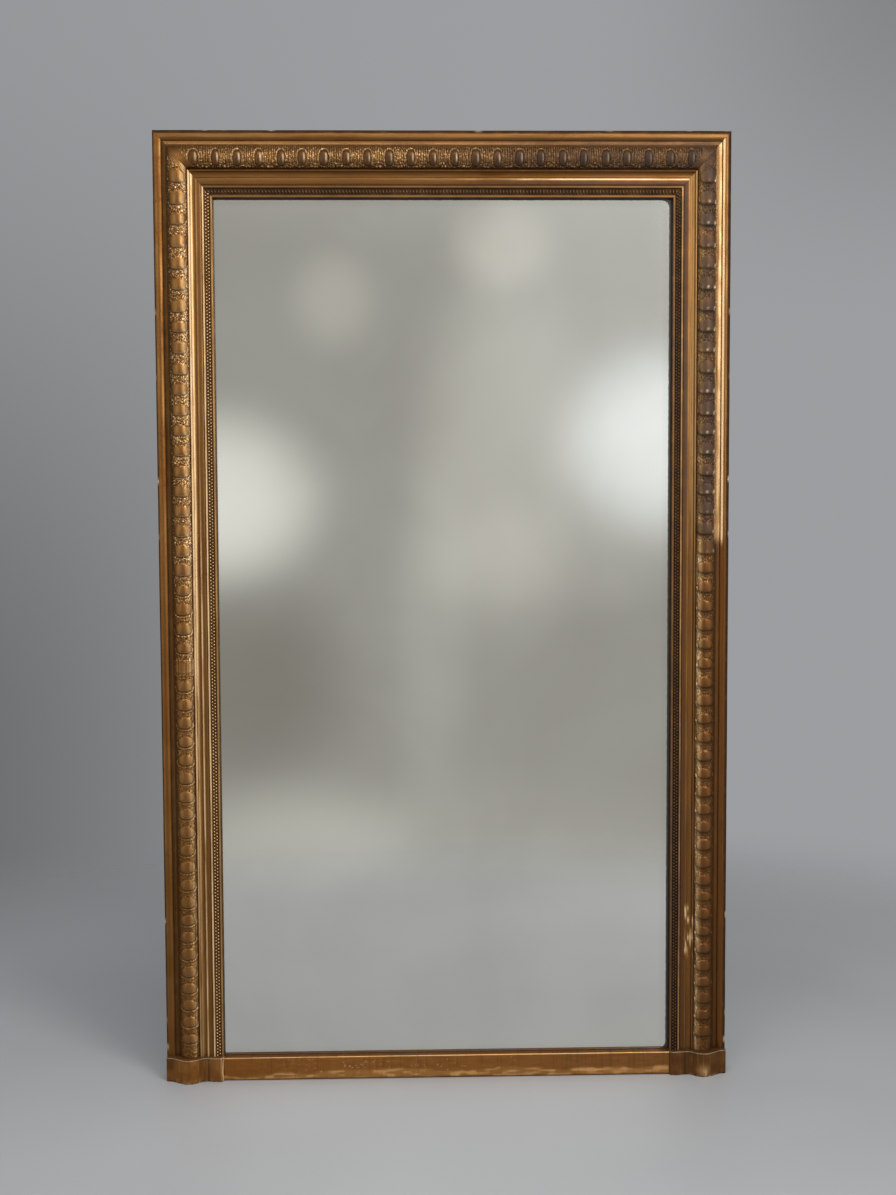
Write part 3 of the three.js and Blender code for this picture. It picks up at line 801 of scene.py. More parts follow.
def maths(tree, operation, *values, clamp=False):
    """One step of arithmetic on sockets or numbers."""
    node = add_node(tree, "ShaderNodeMath", dict(enumerate(values)), operation=operation)
    node.use_clamp = clamp
    return node.outputs[0]


def blend(tree, share, first, second, mode="MIX"):
    """Mixes two colours."""
    node = add_node(tree, "ShaderNodeMix", data_type="RGBA", blend_type=mode)
    for name, value in (("Factor_Float", share), ("A_Color", first), ("B_Color", second)):
        socket = next(s for s in node.inputs if s.identifier == name)
        if isinstance(value, bpy.types.NodeSocket):
            tree.links.new(value, socket)
        else:
            socket.default_value = (*value, 1.0)[:4] if hasattr(value, "__len__") else value
    return next(s for s in node.outputs if s.identifier == "Result_Color")


def spread(tree, value, low, high, to_low=0.0, to_high=1.0):
    """A smooth change of range."""
    node = add_node(
        tree, "ShaderNodeMapRange",
        {"Value": value, "From Min": low, "From Max": high, "To Min": to_low, "To Max": to_high},
        interpolation_type="SMOOTHSTEP",
    )
    return node.outputs["Result"]


def noise(tree, where, scale, detail=3.0, roughness=0.5, distortion=0.0):
    """Soft noise, mostly between 0.3 and 0.7."""
    inputs = {
        "Vector": where, "Scale": scale, "Detail": detail, "Roughness": roughness,
        "Distortion": distortion,
    }
    return add_node(tree, "ShaderNodeTexNoise", inputs).outputs["Fac"]


def new_group(name, inputs, outputs):
    """An empty node group with named sockets, and its inner input and output nodes."""
    tree = bpy.data.node_groups.new(name, "ShaderNodeTree")
    for socket, (kind, default) in inputs.items():
        made = tree.interface.new_socket(socket, in_out="INPUT", socket_type=kind)
        made.default_value = default
    for socket, kind in outputs.items():
        tree.interface.new_socket(socket, in_out="OUTPUT", socket_type=kind)
    return tree, tree.nodes.new("NodeGroupInput").outputs, tree.nodes.new("NodeGroupOutput")


def give(tree, exit_node, **values):
    """Links values to the outputs of a group."""
    for name, value in values.items():
        tree.links.new(value, exit_node.inputs[name])


COLOR, FLOAT, VECTOR = "NodeSocketColor", "NodeSocketFloat", "NodeSocketVector"
GREY = (0.5, 0.5, 0.5, 1.0)


def gilding_group():
    """Gold leaf over bole and gesso, with bright arrises, painted highlights, toner, cracks, dirt and
    painted shade.
    """
    tree, given, out = new_group("aged gilding", {
        "Leaf": (COLOR, GREY), "Deep Leaf": (COLOR, GREY), "Bright Leaf": (COLOR, GREY),
        "Pale Leaf": (COLOR, GREY), "Bole": (COLOR, GREY), "Gesso": (COLOR, GREY),
        "Grime": (COLOR, GREY), "Smoke Colour": (COLOR, GREY),
        "Crevice": (FLOAT, 0.0), "Ridge": (FLOAT, 0.0), "Tone": (FLOAT, 0.0),
        "Smoke": (FLOAT, 0.0), "Chip": (FLOAT, 0.0), "Rubbing": (FLOAT, 0.5),
        "Cracks": (FLOAT, 0.3), "Grain": (VECTOR, (1.0, 1.0, 1.0)),
    }, {"Color": COLOR, "Roughness": FLOAT, "Metallic": FLOAT, "Height": FLOAT})
    where = add_node(tree, "ShaderNodeTexCoord").outputs["Object"]
    brushed = add_node(
        tree, "ShaderNodeVectorMath", {0: where, 1: given["Grain"]}, operation="MULTIPLY"
    ).outputs[0]
    broad = noise(tree, where, 7.0, 3.0)
    cloudy = noise(tree, where, 38.0, 5.0, 0.6)
    fine = noise(tree, where, 420.0, 3.0, 0.6)
    streaks = noise(tree, brushed, 190.0, 4.0, 0.55)
    # Leaf, deeper where the toner stayed.
    cover = maths(tree, "MULTIPLY", broad, 0.6)
    cover = maths(tree, "ADD", cover, maths(tree, "MULTIPLY", streaks, 0.6))
    depth = spread(tree, cover, 0.42, 0.80, 0.0, 0.75)
    depth = maths(tree, "MAXIMUM", depth, maths(tree, "MULTIPLY", given["Tone"], 0.9))
    leaf = blend(tree, depth, given["Leaf"], given["Deep Leaf"])
    # Bole shows through in patches, most where the tone is deep.
    patch = maths(tree, "ADD", cloudy, maths(tree, "MULTIPLY", broad, 0.35))
    patch = spread(tree, patch, 0.72, 0.90)
    tone_patch = spread(tree, maths(tree, "ADD", cloudy, streaks), 0.75, 1.25, 0.15, 0.9)
    rubbed = maths(tree, "MAXIMUM", patch, maths(tree, "MULTIPLY", given["Tone"], tone_patch))
    rubbed = maths(tree, "MULTIPLY", rubbed, given["Rubbing"], clamp=True)
    shade = blend(tree, rubbed, leaf, given["Bole"])
    # Grey-brown toner.
    smoke = spread(tree, cloudy, 0.30, 0.62, 0.70, 1.0)
    smoke = maths(tree, "MULTIPLY", given["Smoke"], smoke, clamp=True)
    shade = blend(tree, smoke, shade, given["Smoke Colour"])
    # Arrises rubbed bright, and painted highlights.
    bright = maths(tree, "MULTIPLY", given["Ridge"], spread(tree, streaks, 0.30, 0.60, 0.55, 1.0))
    quiet = spread(tree, smoke, 0.0, 1.0, 1.0, 0.30)
    bright = maths(tree, "MULTIPLY", bright, quiet, clamp=True)
    shade = blend(tree, spread(tree, bright, 0.0, 0.50), shade, given["Bright Leaf"])
    shade = blend(tree, spread(tree, bright, 0.30, 0.78), shade, given["Pale Leaf"])
    # Dirt and painted shade in the hollows, and dirt in fine cracks.
    cells = add_node(
        tree, "ShaderNodeTexVoronoi", {"Vector": where, "Scale": 62.0, "Randomness": 1.0},
        feature="DISTANCE_TO_EDGE",
    ).outputs["Distance"]
    crack = spread(tree, cells, 0.0, 0.035, 1.0, 0.0)
    crack = maths(tree, "MULTIPLY", crack, spread(tree, broad, 0.48, 0.62))
    crack = maths(tree, "MULTIPLY", crack, given["Cracks"])
    dirt = maths(tree, "MULTIPLY", given["Crevice"], spread(tree, cloudy, 0.25, 0.6, 0.7, 1.0))
    dirt = maths(tree, "MAXIMUM", dirt, crack, clamp=True)
    shade = blend(tree, maths(tree, "MULTIPLY", dirt, 0.95), shade, given["Grime"])
    # Gesso where the surface is chipped, and gesso-pale painted glints.
    chip = maths(tree, "MULTIPLY", given["Chip"], spread(tree, fine, 0.34, 0.60, 0.35, 1.0), clamp=True)
    shade = blend(tree, chip, shade, given["Gesso"])
    dull = maths(tree, "MAXIMUM", maths(tree, "MULTIPLY", rubbed, 0.55), dirt)
    dull = maths(tree, "MAXIMUM", dull, maths(tree, "MULTIPLY", smoke, 0.75))
    dull = maths(tree, "MAXIMUM", dull, maths(tree, "MULTIPLY", bright, 0.45))
    dull = maths(tree, "MAXIMUM", dull, chip)
    metal = maths(tree, "SUBTRACT", 0.95, maths(tree, "MULTIPLY", dull, 0.85), clamp=True)
    rough = spread(tree, streaks, 0.3, 0.7, 0.26, 0.42)
    rough = maths(tree, "ADD", rough, maths(tree, "MULTIPLY", dull, 0.22))
    rough = maths(tree, "ADD", rough, maths(tree, "MULTIPLY", cloudy, 0.08), clamp=True)
    height = maths(tree, "MULTIPLY", cloudy, 0.5)
    height = maths(tree, "ADD", height, maths(tree, "MULTIPLY", fine, 0.25))
    height = maths(tree, "SUBTRACT", height, maths(tree, "MULTIPLY", crack, 0.6))
    height = maths(tree, "SUBTRACT", height, maths(tree, "MULTIPLY", chip, 0.35))
    give(tree, out, Color=shade, Roughness=rough, Metallic=metal, Height=height)
    return tree


def wood_group():
    """Straight-grained softwood: bands along the stretch, pores and a few knots."""
    tree, given, out = new_group("old wood", {
        "Light": (COLOR, GREY), "Dark": (COLOR, GREY), "Stretch": (VECTOR, (1.0, 1.0, 1.0)),
        "Dust": (FLOAT, 0.3),
    }, {"Color": COLOR, "Roughness": FLOAT, "Height": FLOAT})
    where = add_node(tree, "ShaderNodeTexCoord").outputs["Object"]
    along = add_node(
        tree, "ShaderNodeVectorMath", {0: where, 1: given["Stretch"]}, operation="MULTIPLY"
    ).outputs[0]
    bands = noise(tree, along, 1.0, 2.0, 0.45, 0.6)
    rings = maths(tree, "FRACT", maths(tree, "MULTIPLY", bands, 9.0))
    rings = spread(tree, maths(tree, "ABSOLUTE", maths(tree, "SUBTRACT", rings, 0.5)), 0.05, 0.5)
    pores = noise(tree, along, 6.0, 3.0, 0.6)
    patch = noise(tree, where, 6.0, 3.0)
    share = maths(tree, "ADD", maths(tree, "MULTIPLY", rings, 0.6), maths(tree, "MULTIPLY", pores, 0.5))
    shade = blend(tree, spread(tree, share, 0.25, 0.85), given["Light"], given["Dark"])
    dust = maths(tree, "MULTIPLY", spread(tree, patch, 0.35, 0.7), given["Dust"])
    shade = blend(tree, dust, shade, (0.16, 0.145, 0.125))
    rough = spread(tree, pores, 0.2, 0.8, 0.68, 0.88)
    height = maths(tree, "MULTIPLY", pores, 0.8)
    height = maths(tree, "SUBTRACT", height, maths(tree, "MULTIPLY", rings, 0.4))
    give(tree, out, Color=shade, Roughness=rough, Height=height)
    return tree


def rounded_edge(tree, where, middle, half, radius):
    """Distance outside a rounded rectangle that stands round the glass, in metres."""
    offset = add_node(tree, "ShaderNodeVectorMath", {0: where, 1: middle}, operation="SUBTRACT")
    folded = add_node(tree, "ShaderNodeVectorMath", {0: offset.outputs[0]}, operation="ABSOLUTE")
    past = add_node(
        tree, "ShaderNodeVectorMath", {0: folded.outputs[0], 1: half}, operation="SUBTRACT"
    )
    corner = add_node(
        tree, "ShaderNodeVectorMath", {0: past.outputs[0], 1: (0.0, 0.0, 0.0)}, operation="MAXIMUM"
    )
    reach = add_node(tree, "ShaderNodeVectorMath", {0: corner.outputs[0]}, operation="LENGTH")
    return maths(tree, "SUBTRACT", reach.outputs["Value"], radius)


def group_in(tree, name, builder, values):
    """Outputs of a group, which is built where it is used first, with its inputs set."""
    group = bpy.data.node_groups.get(name) or builder()
    node = tree.nodes.new("ShaderNodeGroup")
    node.node_tree = group
    for socket, value in values.items():
        if isinstance(value, bpy.types.NodeSocket):
            tree.links.new(value, node.inputs[socket])
        elif node.inputs[socket].type == "RGBA":
            node.inputs[socket].default_value = (*value, 1.0)[:4]
        else:
            node.inputs[socket].default_value = value
    return node.outputs


def new_material(name, **constants):
    """A material with one Principled shader, its constant sockets set."""
    material = bpy.data.materials.new(name)
    material.use_nodes = True
    shader = material.node_tree.nodes["Principled BSDF"]
    for socket, value in constants.items():
        shader.inputs[socket.replace("_", " ")].default_value = value
    return material, material.node_tree, shader


def wire(tree, shader, outputs, bump=0.0, distance=0.4 * MM):
    """Feeds a group's outputs to the shader, its height through a bump."""
    for socket in ("Roughness", "Metallic"):
        if socket in outputs:
            tree.links.new(outputs[socket], shader.inputs[socket])
    tree.links.new(outputs["Color"], shader.inputs["Base Color"])
    if bump:
        inputs = {"Strength": bump, "Distance": distance, "Height": outputs["Height"]}
        node = add_node(tree, "ShaderNodeBump", inputs)
        tree.links.new(node.outputs["Normal"], shader.inputs["Normal"])


def mask(tree, name):
    """A mask that was painted on the piece."""
    return add_node(tree, "ShaderNodeAttribute", attribute_name=name).outputs["Fac"]


def gilding(name, grain, rubbing, cracks, bump=0.35, polish=1.0):
    """A gilding, its grain vector large across the strip and small along it.

    polish brightens the leaf and its bole where handling has kept them clean.
    """
    found = bpy.data.materials.get(name)
    if found:
        return found
    colours = bpy.context.scene.mirror_finish
    material, tree, shader = new_material(
        name, Specular_IOR_Level=0.10, Specular_Tint=(1.0, 0.82, 0.62, 1.0)
    )
    outputs = group_in(tree, "aged gilding", gilding_group, {
        "Leaf": polish * Vector(colours.leaf), "Deep Leaf": polish * Vector(colours.deep_leaf),
        "Bright Leaf": polish * Vector(colours.bright_rub_and_highlight), "Bole": polish * Vector(colours.bole),
        "Pale Leaf": colours.pale_rub_and_highlight, "Gesso": colours.gesso,
        "Grime": colours.grime_and_shade, "Smoke Colour": colours.smoke,
        "Crevice": mask(tree, "crevice"), "Ridge": mask(tree, "ridge"),
        "Tone": mask(tree, "tone"), "Smoke": mask(tree, "smoke"), "Chip": mask(tree, "chip"),
        "Rubbing": rubbing, "Cracks": cracks, "Grain": grain,
    })
    wire(tree, shader, outputs, bump)
    return material


JAMB_GRAIN = (1.0, 1.0, 0.06)
HEAD_GRAIN = (0.06, 1.0, 1.0)


def strip_gilding(member, rubbing=0.55, cracks=0.35):
    """The gilding of a strip, brushed along its member."""
    if member == "head":
        return gilding(f"head gilding {rubbing}", HEAD_GRAIN, rubbing, cracks)
    return gilding(f"jamb gilding {rubbing}", JAMB_GRAIN, rubbing, cracks)


def wood(name, light, dark, stretch, dust, bump=0.5):
    """A wood whose grain runs where the stretch is small."""
    found = bpy.data.materials.get(name)
    if found:
        return found
    material, tree, shader = new_material(name)
    outputs = group_in(tree, "old wood", wood_group, {
        "Light": light, "Dark": dark, "Stretch": stretch, "Dust": dust,
    })
    wire(tree, shader, outputs, bump)
    return material


def iron_material():
    """Forged iron, brown with age."""
    found = bpy.data.materials.get("aged iron")
    if found:
        return found
    colours = bpy.context.scene.mirror_finish
    material, tree, shader = new_material("aged iron")
    where = add_node(tree, "ShaderNodeTexCoord").outputs["Object"]
    spots = spread(tree, noise(tree, where, 260.0, 5.0, 0.6), 0.42, 0.66)
    pits = noise(tree, where, 900.0, 3.0)
    shade = blend(tree, spots, tuple(colours.iron), tuple(colours.rust))
    outputs = {
        "Color": shade,
        "Metallic": spread(tree, spots, 0.0, 1.0, 0.95, 0.15),
        "Roughness": spread(tree, spots, 0.0, 1.0, 0.42, 0.85),
        "Height": pits,
    }
    wire(tree, shader, outputs, 0.3, 0.2 * MM)
    return material


def silvered_material():
    """Old plate glass over clouded silvering, dark where the silver is lost at the edge."""
    colours = bpy.context.scene.mirror_finish
    material, tree, shader = new_material(
        "silvered glass", Coat_Weight=1.0, Coat_Roughness=0.03, Coat_IOR=1.5
    )
    where = add_node(tree, "ShaderNodeTexCoord").outputs["Object"]
    radius = 15 * MM
    rim = 2.2 * MM
    # The loss shows at the right and the top, and behind the left jamb it is out of sight.
    opening = HALF_WIDTH - FACE_END
    inner = opening + 2 * MM - radius
    low, high = PLINTH_TOP + 1.5 * MM, HEAD_FACE_LOW.z - rim
    middle = (-7 * MM, WALL - CORE_FACE, (low + high) / 2)
    edge = rounded_edge(tree, where, middle, (inner, 1.0, (high - low) / 2 - radius), radius)
    wander = maths(tree, "SUBTRACT", noise(tree, where, 130.0, 3.0), 0.5)
    distance = maths(tree, "ADD", edge, maths(tree, "MULTIPLY", wander, 1.6 * MM))
    lost = spread(tree, distance, -0.8 * MM, 0.5 * MM)
    bare = spread(tree, distance, 0.5 * MM, 1.0 * MM)
    tarnish = spread(tree, distance, -30 * MM, 0.0, 0.0, 0.22)
    clouds = spread(tree, noise(tree, where, 2.6, 3.0, 0.55, 0.4), 0.35, 0.7, 0.0, 0.14)
    spots = spread(tree, noise(tree, where, 240.0, 2.0), 0.735, 0.80, 0.0, 0.35)
    dim = maths(tree, "MAXIMUM", maths(tree, "ADD", clouds, tarnish), spots)
    shade = blend(tree, dim, tuple(colours.silver), (0.36, 0.35, 0.315))
    shade = blend(tree, lost, shade, tuple(colours.loss))
    outputs = {
        "Color": shade,
        "Metallic": spread(tree, lost, 0.0, 1.0, 1.0, 0.0),
        "Roughness": spread(tree, bare, 0.0, 1.0, 0.06, 0.55),
    }
    wire(tree, shader, outputs)
    return material


# ---------------------------------------------------------------- small pieces


def outline_rows(outline, heights, insets):
    """Rows of an outline at rising heights, each drawn in by its own inset.

    outline is a closed loop of (u, h) points. insets has a value for each row and point.
    """
    tangent = np.roll(outline, -1, axis=0) - np.roll(outline, 1, axis=0)
    tangent /= np.linalg.norm(tangent, axis=1)[:, None] + 1e-12
    inward = np.stack([-tangent[:, 1], tangent[:, 0]], axis=1)
    following = np.roll(outline, -1, axis=0)
    area = np.sum(outline[:, 0] * following[:, 1] - following[:, 0] * outline[:, 1])
    if area < 0:
        inward = -inward
    return outline[None] + inward[None] * insets[:, :, None], np.asarray(heights)


def build_foot_block(side_name):
    """A shaped block whose front follows the moulding above it."""
    sizes = bpy.context.scene.mirror_moulding
    side = SIDES[side_name]
    stand = FOOT_FACE - BAND_CROWN
    spring = sizes.torus_spring
    start = LIP_END + sizes.hollow_width
    half = (BAND_END - start) / 2
    crown_line = start + half
    shoulder = half * math.sqrt(0.5)
    shoulder_face = spring + (BAND_CROWN - spring) * math.sqrt(0.5) + stand
    pearl_start = COVE_END + sizes.sight_fillet_width
    pearl_end = pearl_start + sizes.pearl_band_width
    pearl_step = 1.75 * MM
    pearl_face = sizes.sight_fillet_face - pearl_step + stand
    cove_line = BAND_END + sizes.fillet_width + sizes.cove_width / 2
    corner = 4 * MM
    front = spline([
        (FACE_END, PLINTH_FACE + corner / 2), (pearl_end, pearl_face), (pearl_start, pearl_face),
        (cove_line, sizes.cove_floor + stand), (crown_line + shoulder, shoulder_face),
        (crown_line, FOOT_FACE), (crown_line - shoulder, shoulder_face),
        (LIP_END * 0.75, PLINTH_FACE + corner / 4),
    ])
    outline = np.vstack([
        [(0, 0)],
        line((0, 0), (LIP_END, 0), 6),
        line((LIP_END, 0), (LIP_END, CORE_FACE), 12),
        line((LIP_END, CORE_FACE), (FACE_END, CORE_FACE), 24),
        line((FACE_END, CORE_FACE), (FACE_END, PLINTH_FACE + corner / 2), 8),
        front[1:],
        line(front[-1], (corner, PLINTH_FACE), 4),
        quadratic((corner, PLINTH_FACE), (0, PLINTH_FACE), (0, PLINTH_FACE - corner), 6),
        line((0, PLINTH_FACE - corner), (0, 0), 14)[:-1],
    ])
    at = path_length(outline)
    # The rows lie closer together at the rounded foot and top.
    heights = np.concatenate([
        [0, 0.35, 0.9, 1.7, 2.8, 4.2, 6], np.linspace(8, 44, 19), [45.5, 46.6, 47.3, 47.8, 48],
    ]) * MM
    rows, points = len(heights), len(outline)
    z = heights[:, None]
    arc = np.broadcast_to(at, (rows, points))
    foot_round, top_round = 1.6 * MM, 1.0 * MM
    rounding = foot_round * (1 - dome(unit((foot_round - z) / foot_round)))
    rounding = rounding + top_round * (1 - dome(unit((z - FOOT_TOP + top_round) / top_round)))
    seed = 40 + side
    level = z + 0 * arc
    crumble = (patches(arc, level, 2.2 * MM, seed) - 0.35) * fall(z, 1.5 * MM, 5 * MM)
    insets = rounding + unit(crumble) * 1.5 * MM
    insets = insets + 0.25 * MM * patches(arc, level, 14 * MM, seed + 1)
    placed, heights = outline_rows(outline, heights, insets)
    u, h = placed[..., 0], placed[..., 1]
    grid = [side * (HALF_WIDTH - u), WALL - h, np.broadcast_to(heights[:, None], u.shape)]
    piece = loft(f"shaped_foot_block_{side_name}", np.stack(grid, axis=-1))
    sharpen(piece, FOOT_ARRIS_ANGLE)
    u = np.broadcast_to(outline[:, 0], (rows, points))
    chip = unit(crumble * 2.2) * ramp(u, 14 * MM, 24 * MM)
    chip = chip * (1 - 0.7 * ramp(u, 66 * MM, 78 * MM))
    top_line = stripe(z, FOOT_TOP - 1.0 * MM, 1.1 * MM) * 0.55
    # The left block has a worn inner arris, the right one a rubbed patch low on its round.
    arris_line = FACE_END - 1.6 * MM + drift(z, 9 * MM, seed, 1.1 * MM)
    inner_line = stripe(u, arris_line, 1.5 * MM) * (side < 0)
    beside = stripe(u, FACE_END - 5 * MM, 3.2 * MM) * (side < 0)
    patch = spot(u, 47 * MM, 13 * MM) * spot(z, 12 * MM, 13 * MM) * (side > 0)
    streaks = patches(arc, z * 0.07, 2.4 * MM, seed + 3)
    clouds = patches(arc, level, 16 * MM, seed + 5)
    recess = np.maximum(0.6 * stripe(u, cove_line, 9 * MM), stripe(u, 83 * MM, 6 * MM))
    outer_end = fall(u, 9 * MM, 20 * MM)
    outer_darkening, cloud_smoke = (0.30, 0.35) if side > 0 else (0.55, 0.10)
    # A painted contact shadow along the foot and painted shade in the recess; the outer end and a band
    # under the pale top line are darkened too.
    paint(
        piece,
        crevice=np.clip(
            recess * 0.85 + 0.85 * fall(z, 1 * MM, 4 * MM) + outer_darkening * outer_end
            + 0.5 * ramp(z, FOOT_TOP - 3.2 * MM, FOOT_TOP - 2.2 * MM) * (1 - top_line)
            + 0.20 * ramp(streaks, 0.6, 0.9), 0, 0.9
        ),
        ridge=unit(
            top_line * 0.5 + inner_line + 0.3 * beside + 0.5 * patch
            + 0.20 * ramp(1 - streaks, 0.55, 0.9)
        ),
        tone=unit(0.45 + 0.5 * ramp(clouds, 0.3, 0.75) - 0.4 * patch) + 0 * u,
        smoke=unit(cloud_smoke * clouds - 0.3 * patch),
        chip=np.maximum(0.7 * chip, np.maximum(top_line, 0.6 * inner_line)),
    )
    return piece


def build_plinth_rail():
    """A plain rail, red-brown above and brushed gold below a wandering line."""
    top, foot = PLINTH_TOP, PLINTH_LOW.z
    edge = 1.5 * MM
    path = soften(np.vstack([
        [(CORE_FACE, foot)],
        line((CORE_FACE, foot), (PLINTH_FACE, foot), 10),
        line((PLINTH_FACE, foot), (PLINTH_FACE, top - edge), 30),
        line((PLINTH_FACE, top - edge), (PLINTH_FACE - edge, top), 4),
        line((PLINTH_FACE - edge, top), (CORE_FACE, top), 10),
    ]), 1.3 * MM, 0.9 * MM)
    count = 360
    x = np.linspace(PLINTH_LOW.x, PLINTH_HIGH.x, count + 1)[:, None]
    h = np.broadcast_to(path[:, 0], (count + 1, len(path)))
    z = np.broadcast_to(path[:, 1], h.shape)
    x_all = x + 0 * z
    dents = 0.35 * MM * (patches(x_all, z, 7 * MM, 12) - 0.5)
    dents = dents * ramp(h, CORE_FACE + MM, CORE_FACE + 4 * MM)
    points = np.stack([x_all, WALL - h - dents, z + 0.3 * dents], axis=-1)
    piece = loft("worn_plinth_rail", points)
    sharpen(piece, FOOT_ARRIS_ANGLE)
    place = (x - PLINTH_LOW.x) / (PLINTH_HIGH.x - PLINTH_LOW.x)
    line_height = foot + 15 * MM + drift(x, 55 * MM, 3, 5 * MM) + drift(x, 13 * MM, 4, 1.6 * MM)
    line_height = line_height - 9 * MM * fall(place, 0.03, 0.30)
    gold = fall(z - line_height, -3 * MM, 3 * MM)
    strokes = patches(x_all, z * 0.07, 2.2 * MM, 23)
    smears = patches(x * 0.25 + 0 * z, z, 4 * MM, 24)
    # Specks and upright scratches lie above the gold, left of the middle.
    specks = ramp(patches(x_all, z, 2.1 * MM, 21), 0.88, 0.96) * (1 - gold)
    specks = specks * (z < top - 3 * MM) * ramp(place, 0.05, 0.2) * fall(place, 0.55, 0.75)
    scratches = ramp(patches(x_all, z * 0.06, 1.6 * MM, 22), 0.93, 0.98) * (1 - gold)
    scratches = 0.7 * scratches * (z < top - 2 * MM) * fall(place, 0.35, 0.50)
    arris = stripe(z, top - 1.4 * MM, 1.3 * MM) * ramp(h, PLINTH_FACE - 2.5 * MM, PLINTH_FACE - 1.2 * MM)
    shelf = ramp(z, top - 1.2 * MM, top - 0.6 * MM) * (1 - arris)
    # A painted contact shadow along the foot, painted shade on the shelf under the glass, and a painted
    # highlight on the top arris.
    paint(
        piece,
        crevice=np.clip(
            shelf * 0.35 + 0.20 * ramp(strokes, 0.6, 0.9) + 0.05 * (1 - gold)
            + 0.85 * fall(z, foot + 0.5 * MM, foot + 3 * MM), 0, 0.9
        ),
        ridge=unit(0.60 * arris + gold * (0.08 + 0.24 * ramp(smears, 0.4, 0.8))),
        tone=unit(
            0.75 * (1 - gold) + 0.40 * (smears - 0.4) + 0.20 * fall(place, 0.0, 0.25)
        ) + 0 * z,
        smoke=unit(0.22 * (1 - gold) * ramp(place, 0.5, 0.9) + 0.2 * shelf),
        chip=unit(np.maximum(arris * 0.15, np.maximum(specks * 0.8, scratches * 0.7))),
    )
    return piece


def pearl_beads(member, sizes, carving):
    """Place, line, reach across, reach along and slant of each bead of a member's row."""
    middle = COVE_END + sizes.sight_fillet_width + sizes.pearl_band_width / 2
    start, end = (float(line_end[0]) for line_end in strip_ends(member, np.array([middle])))
    spacing = carving.pearl_pitch if member == "head" else carving.pearl_pitch / 2
    count = round((end - start - spacing) / spacing)
    places = start + spacing / 2 + np.arange(count + 1) * (end - start - spacing) / count
    radius = carving.pearl_radius
    if member == "head":
        slants = 0.62 * fall(places, -0.35, 0.05)
        reach = carving.tick_reach
        return [(p, middle, reach, 0.8 * radius, slant) for p, slant in zip(places, slants)]
    sway = carving.pearl_sway * np.where(np.arange(len(places)) % 2, 1, -1)
    return [(p, middle + s, radius, radius, 0.0) for p, s in zip(places, sway)]


def build_pearls(member):
    """The row of pearls: two staggered columns on a jamb, long pearls side by side on the head."""
    sizes = bpy.context.scene.mirror_moulding
    carving = bpy.context.scene.mirror_carving
    around, rings = 10, 3
    angle = np.arange(around) * 2 * math.pi / around
    lifts = np.linspace(-0.2, 1.15, rings)
    height = 1.3 * carving.pearl_radius
    sunk = 0.2
    chance = np.random.default_rng(17)
    points, faces, rises = [], [], []
    for place, line_u, reach_u, reach_along, slant in pearl_beads(member, sizes, carving):
        size = chance.uniform(0.88, 1.08)
        base = len(points)
        for lift in lifts:
            across = size * reach_u * math.cos(lift) * np.cos(angle)
            along = size * reach_along * math.cos(lift) * np.sin(angle)
            u = line_u + across * math.cos(slant) - along * math.sin(slant)
            v = place + along * math.cos(slant) + across * math.sin(slant)
            level = sizes.pearl_floor + size * height * (sunk + math.sin(lift))
            points.extend(strip_points(member, u, np.full(around, level), v).tolist())
            rises.extend([math.sin(lift)] * around)
        top = sizes.pearl_floor + size * height * (sunk + 1)
        crown = (np.array([value]) for value in (line_u, top, place))
        points.extend(strip_points(member, *crown).tolist())
        rises.append(1.0)
        for ring in range(rings - 1):
            low = base + ring * around
            faces.extend(
                (low + k, low + (k + 1) % around, low + around + (k + 1) % around, low + around + k)
                for k in range(around)
            )
        last = base + (rings - 1) * around
        faces.extend((last + k, last + (k + 1) % around, last + around) for k in range(around))
        faces.append(tuple(range(base + around - 1, base - 1, -1)))
    mesh = bpy.data.meshes.new(f"pearls_{member}")
    mesh.from_pydata(points, [], faces)
    mesh.update()
    if mesh.polygons[(rings - 1) * around].normal.y > 0:
        mesh.flip_normals()
    mesh.shade_smooth()
    piece = link(mesh.name, mesh)
    rise = np.array(rises)
    # Each pearl gets painted shade round its foot and, as strong as bright, a painted highlight on its
    # top.
    shade, bright = {"left": (0.0, 1.0), "right": (0.75, 0.25), "head": (0.75, 0.30)}[member]
    paint(
        piece, crevice=fall(rise, -0.1, 0.5), ridge=bright * ramp(rise, 0.5, 0.9),
        tone=0 * rise + 0.3, smoke=0 * rise + shade, chip=0 * rise,
    )
    return piece


# ---------------------------------------------------------------- operators


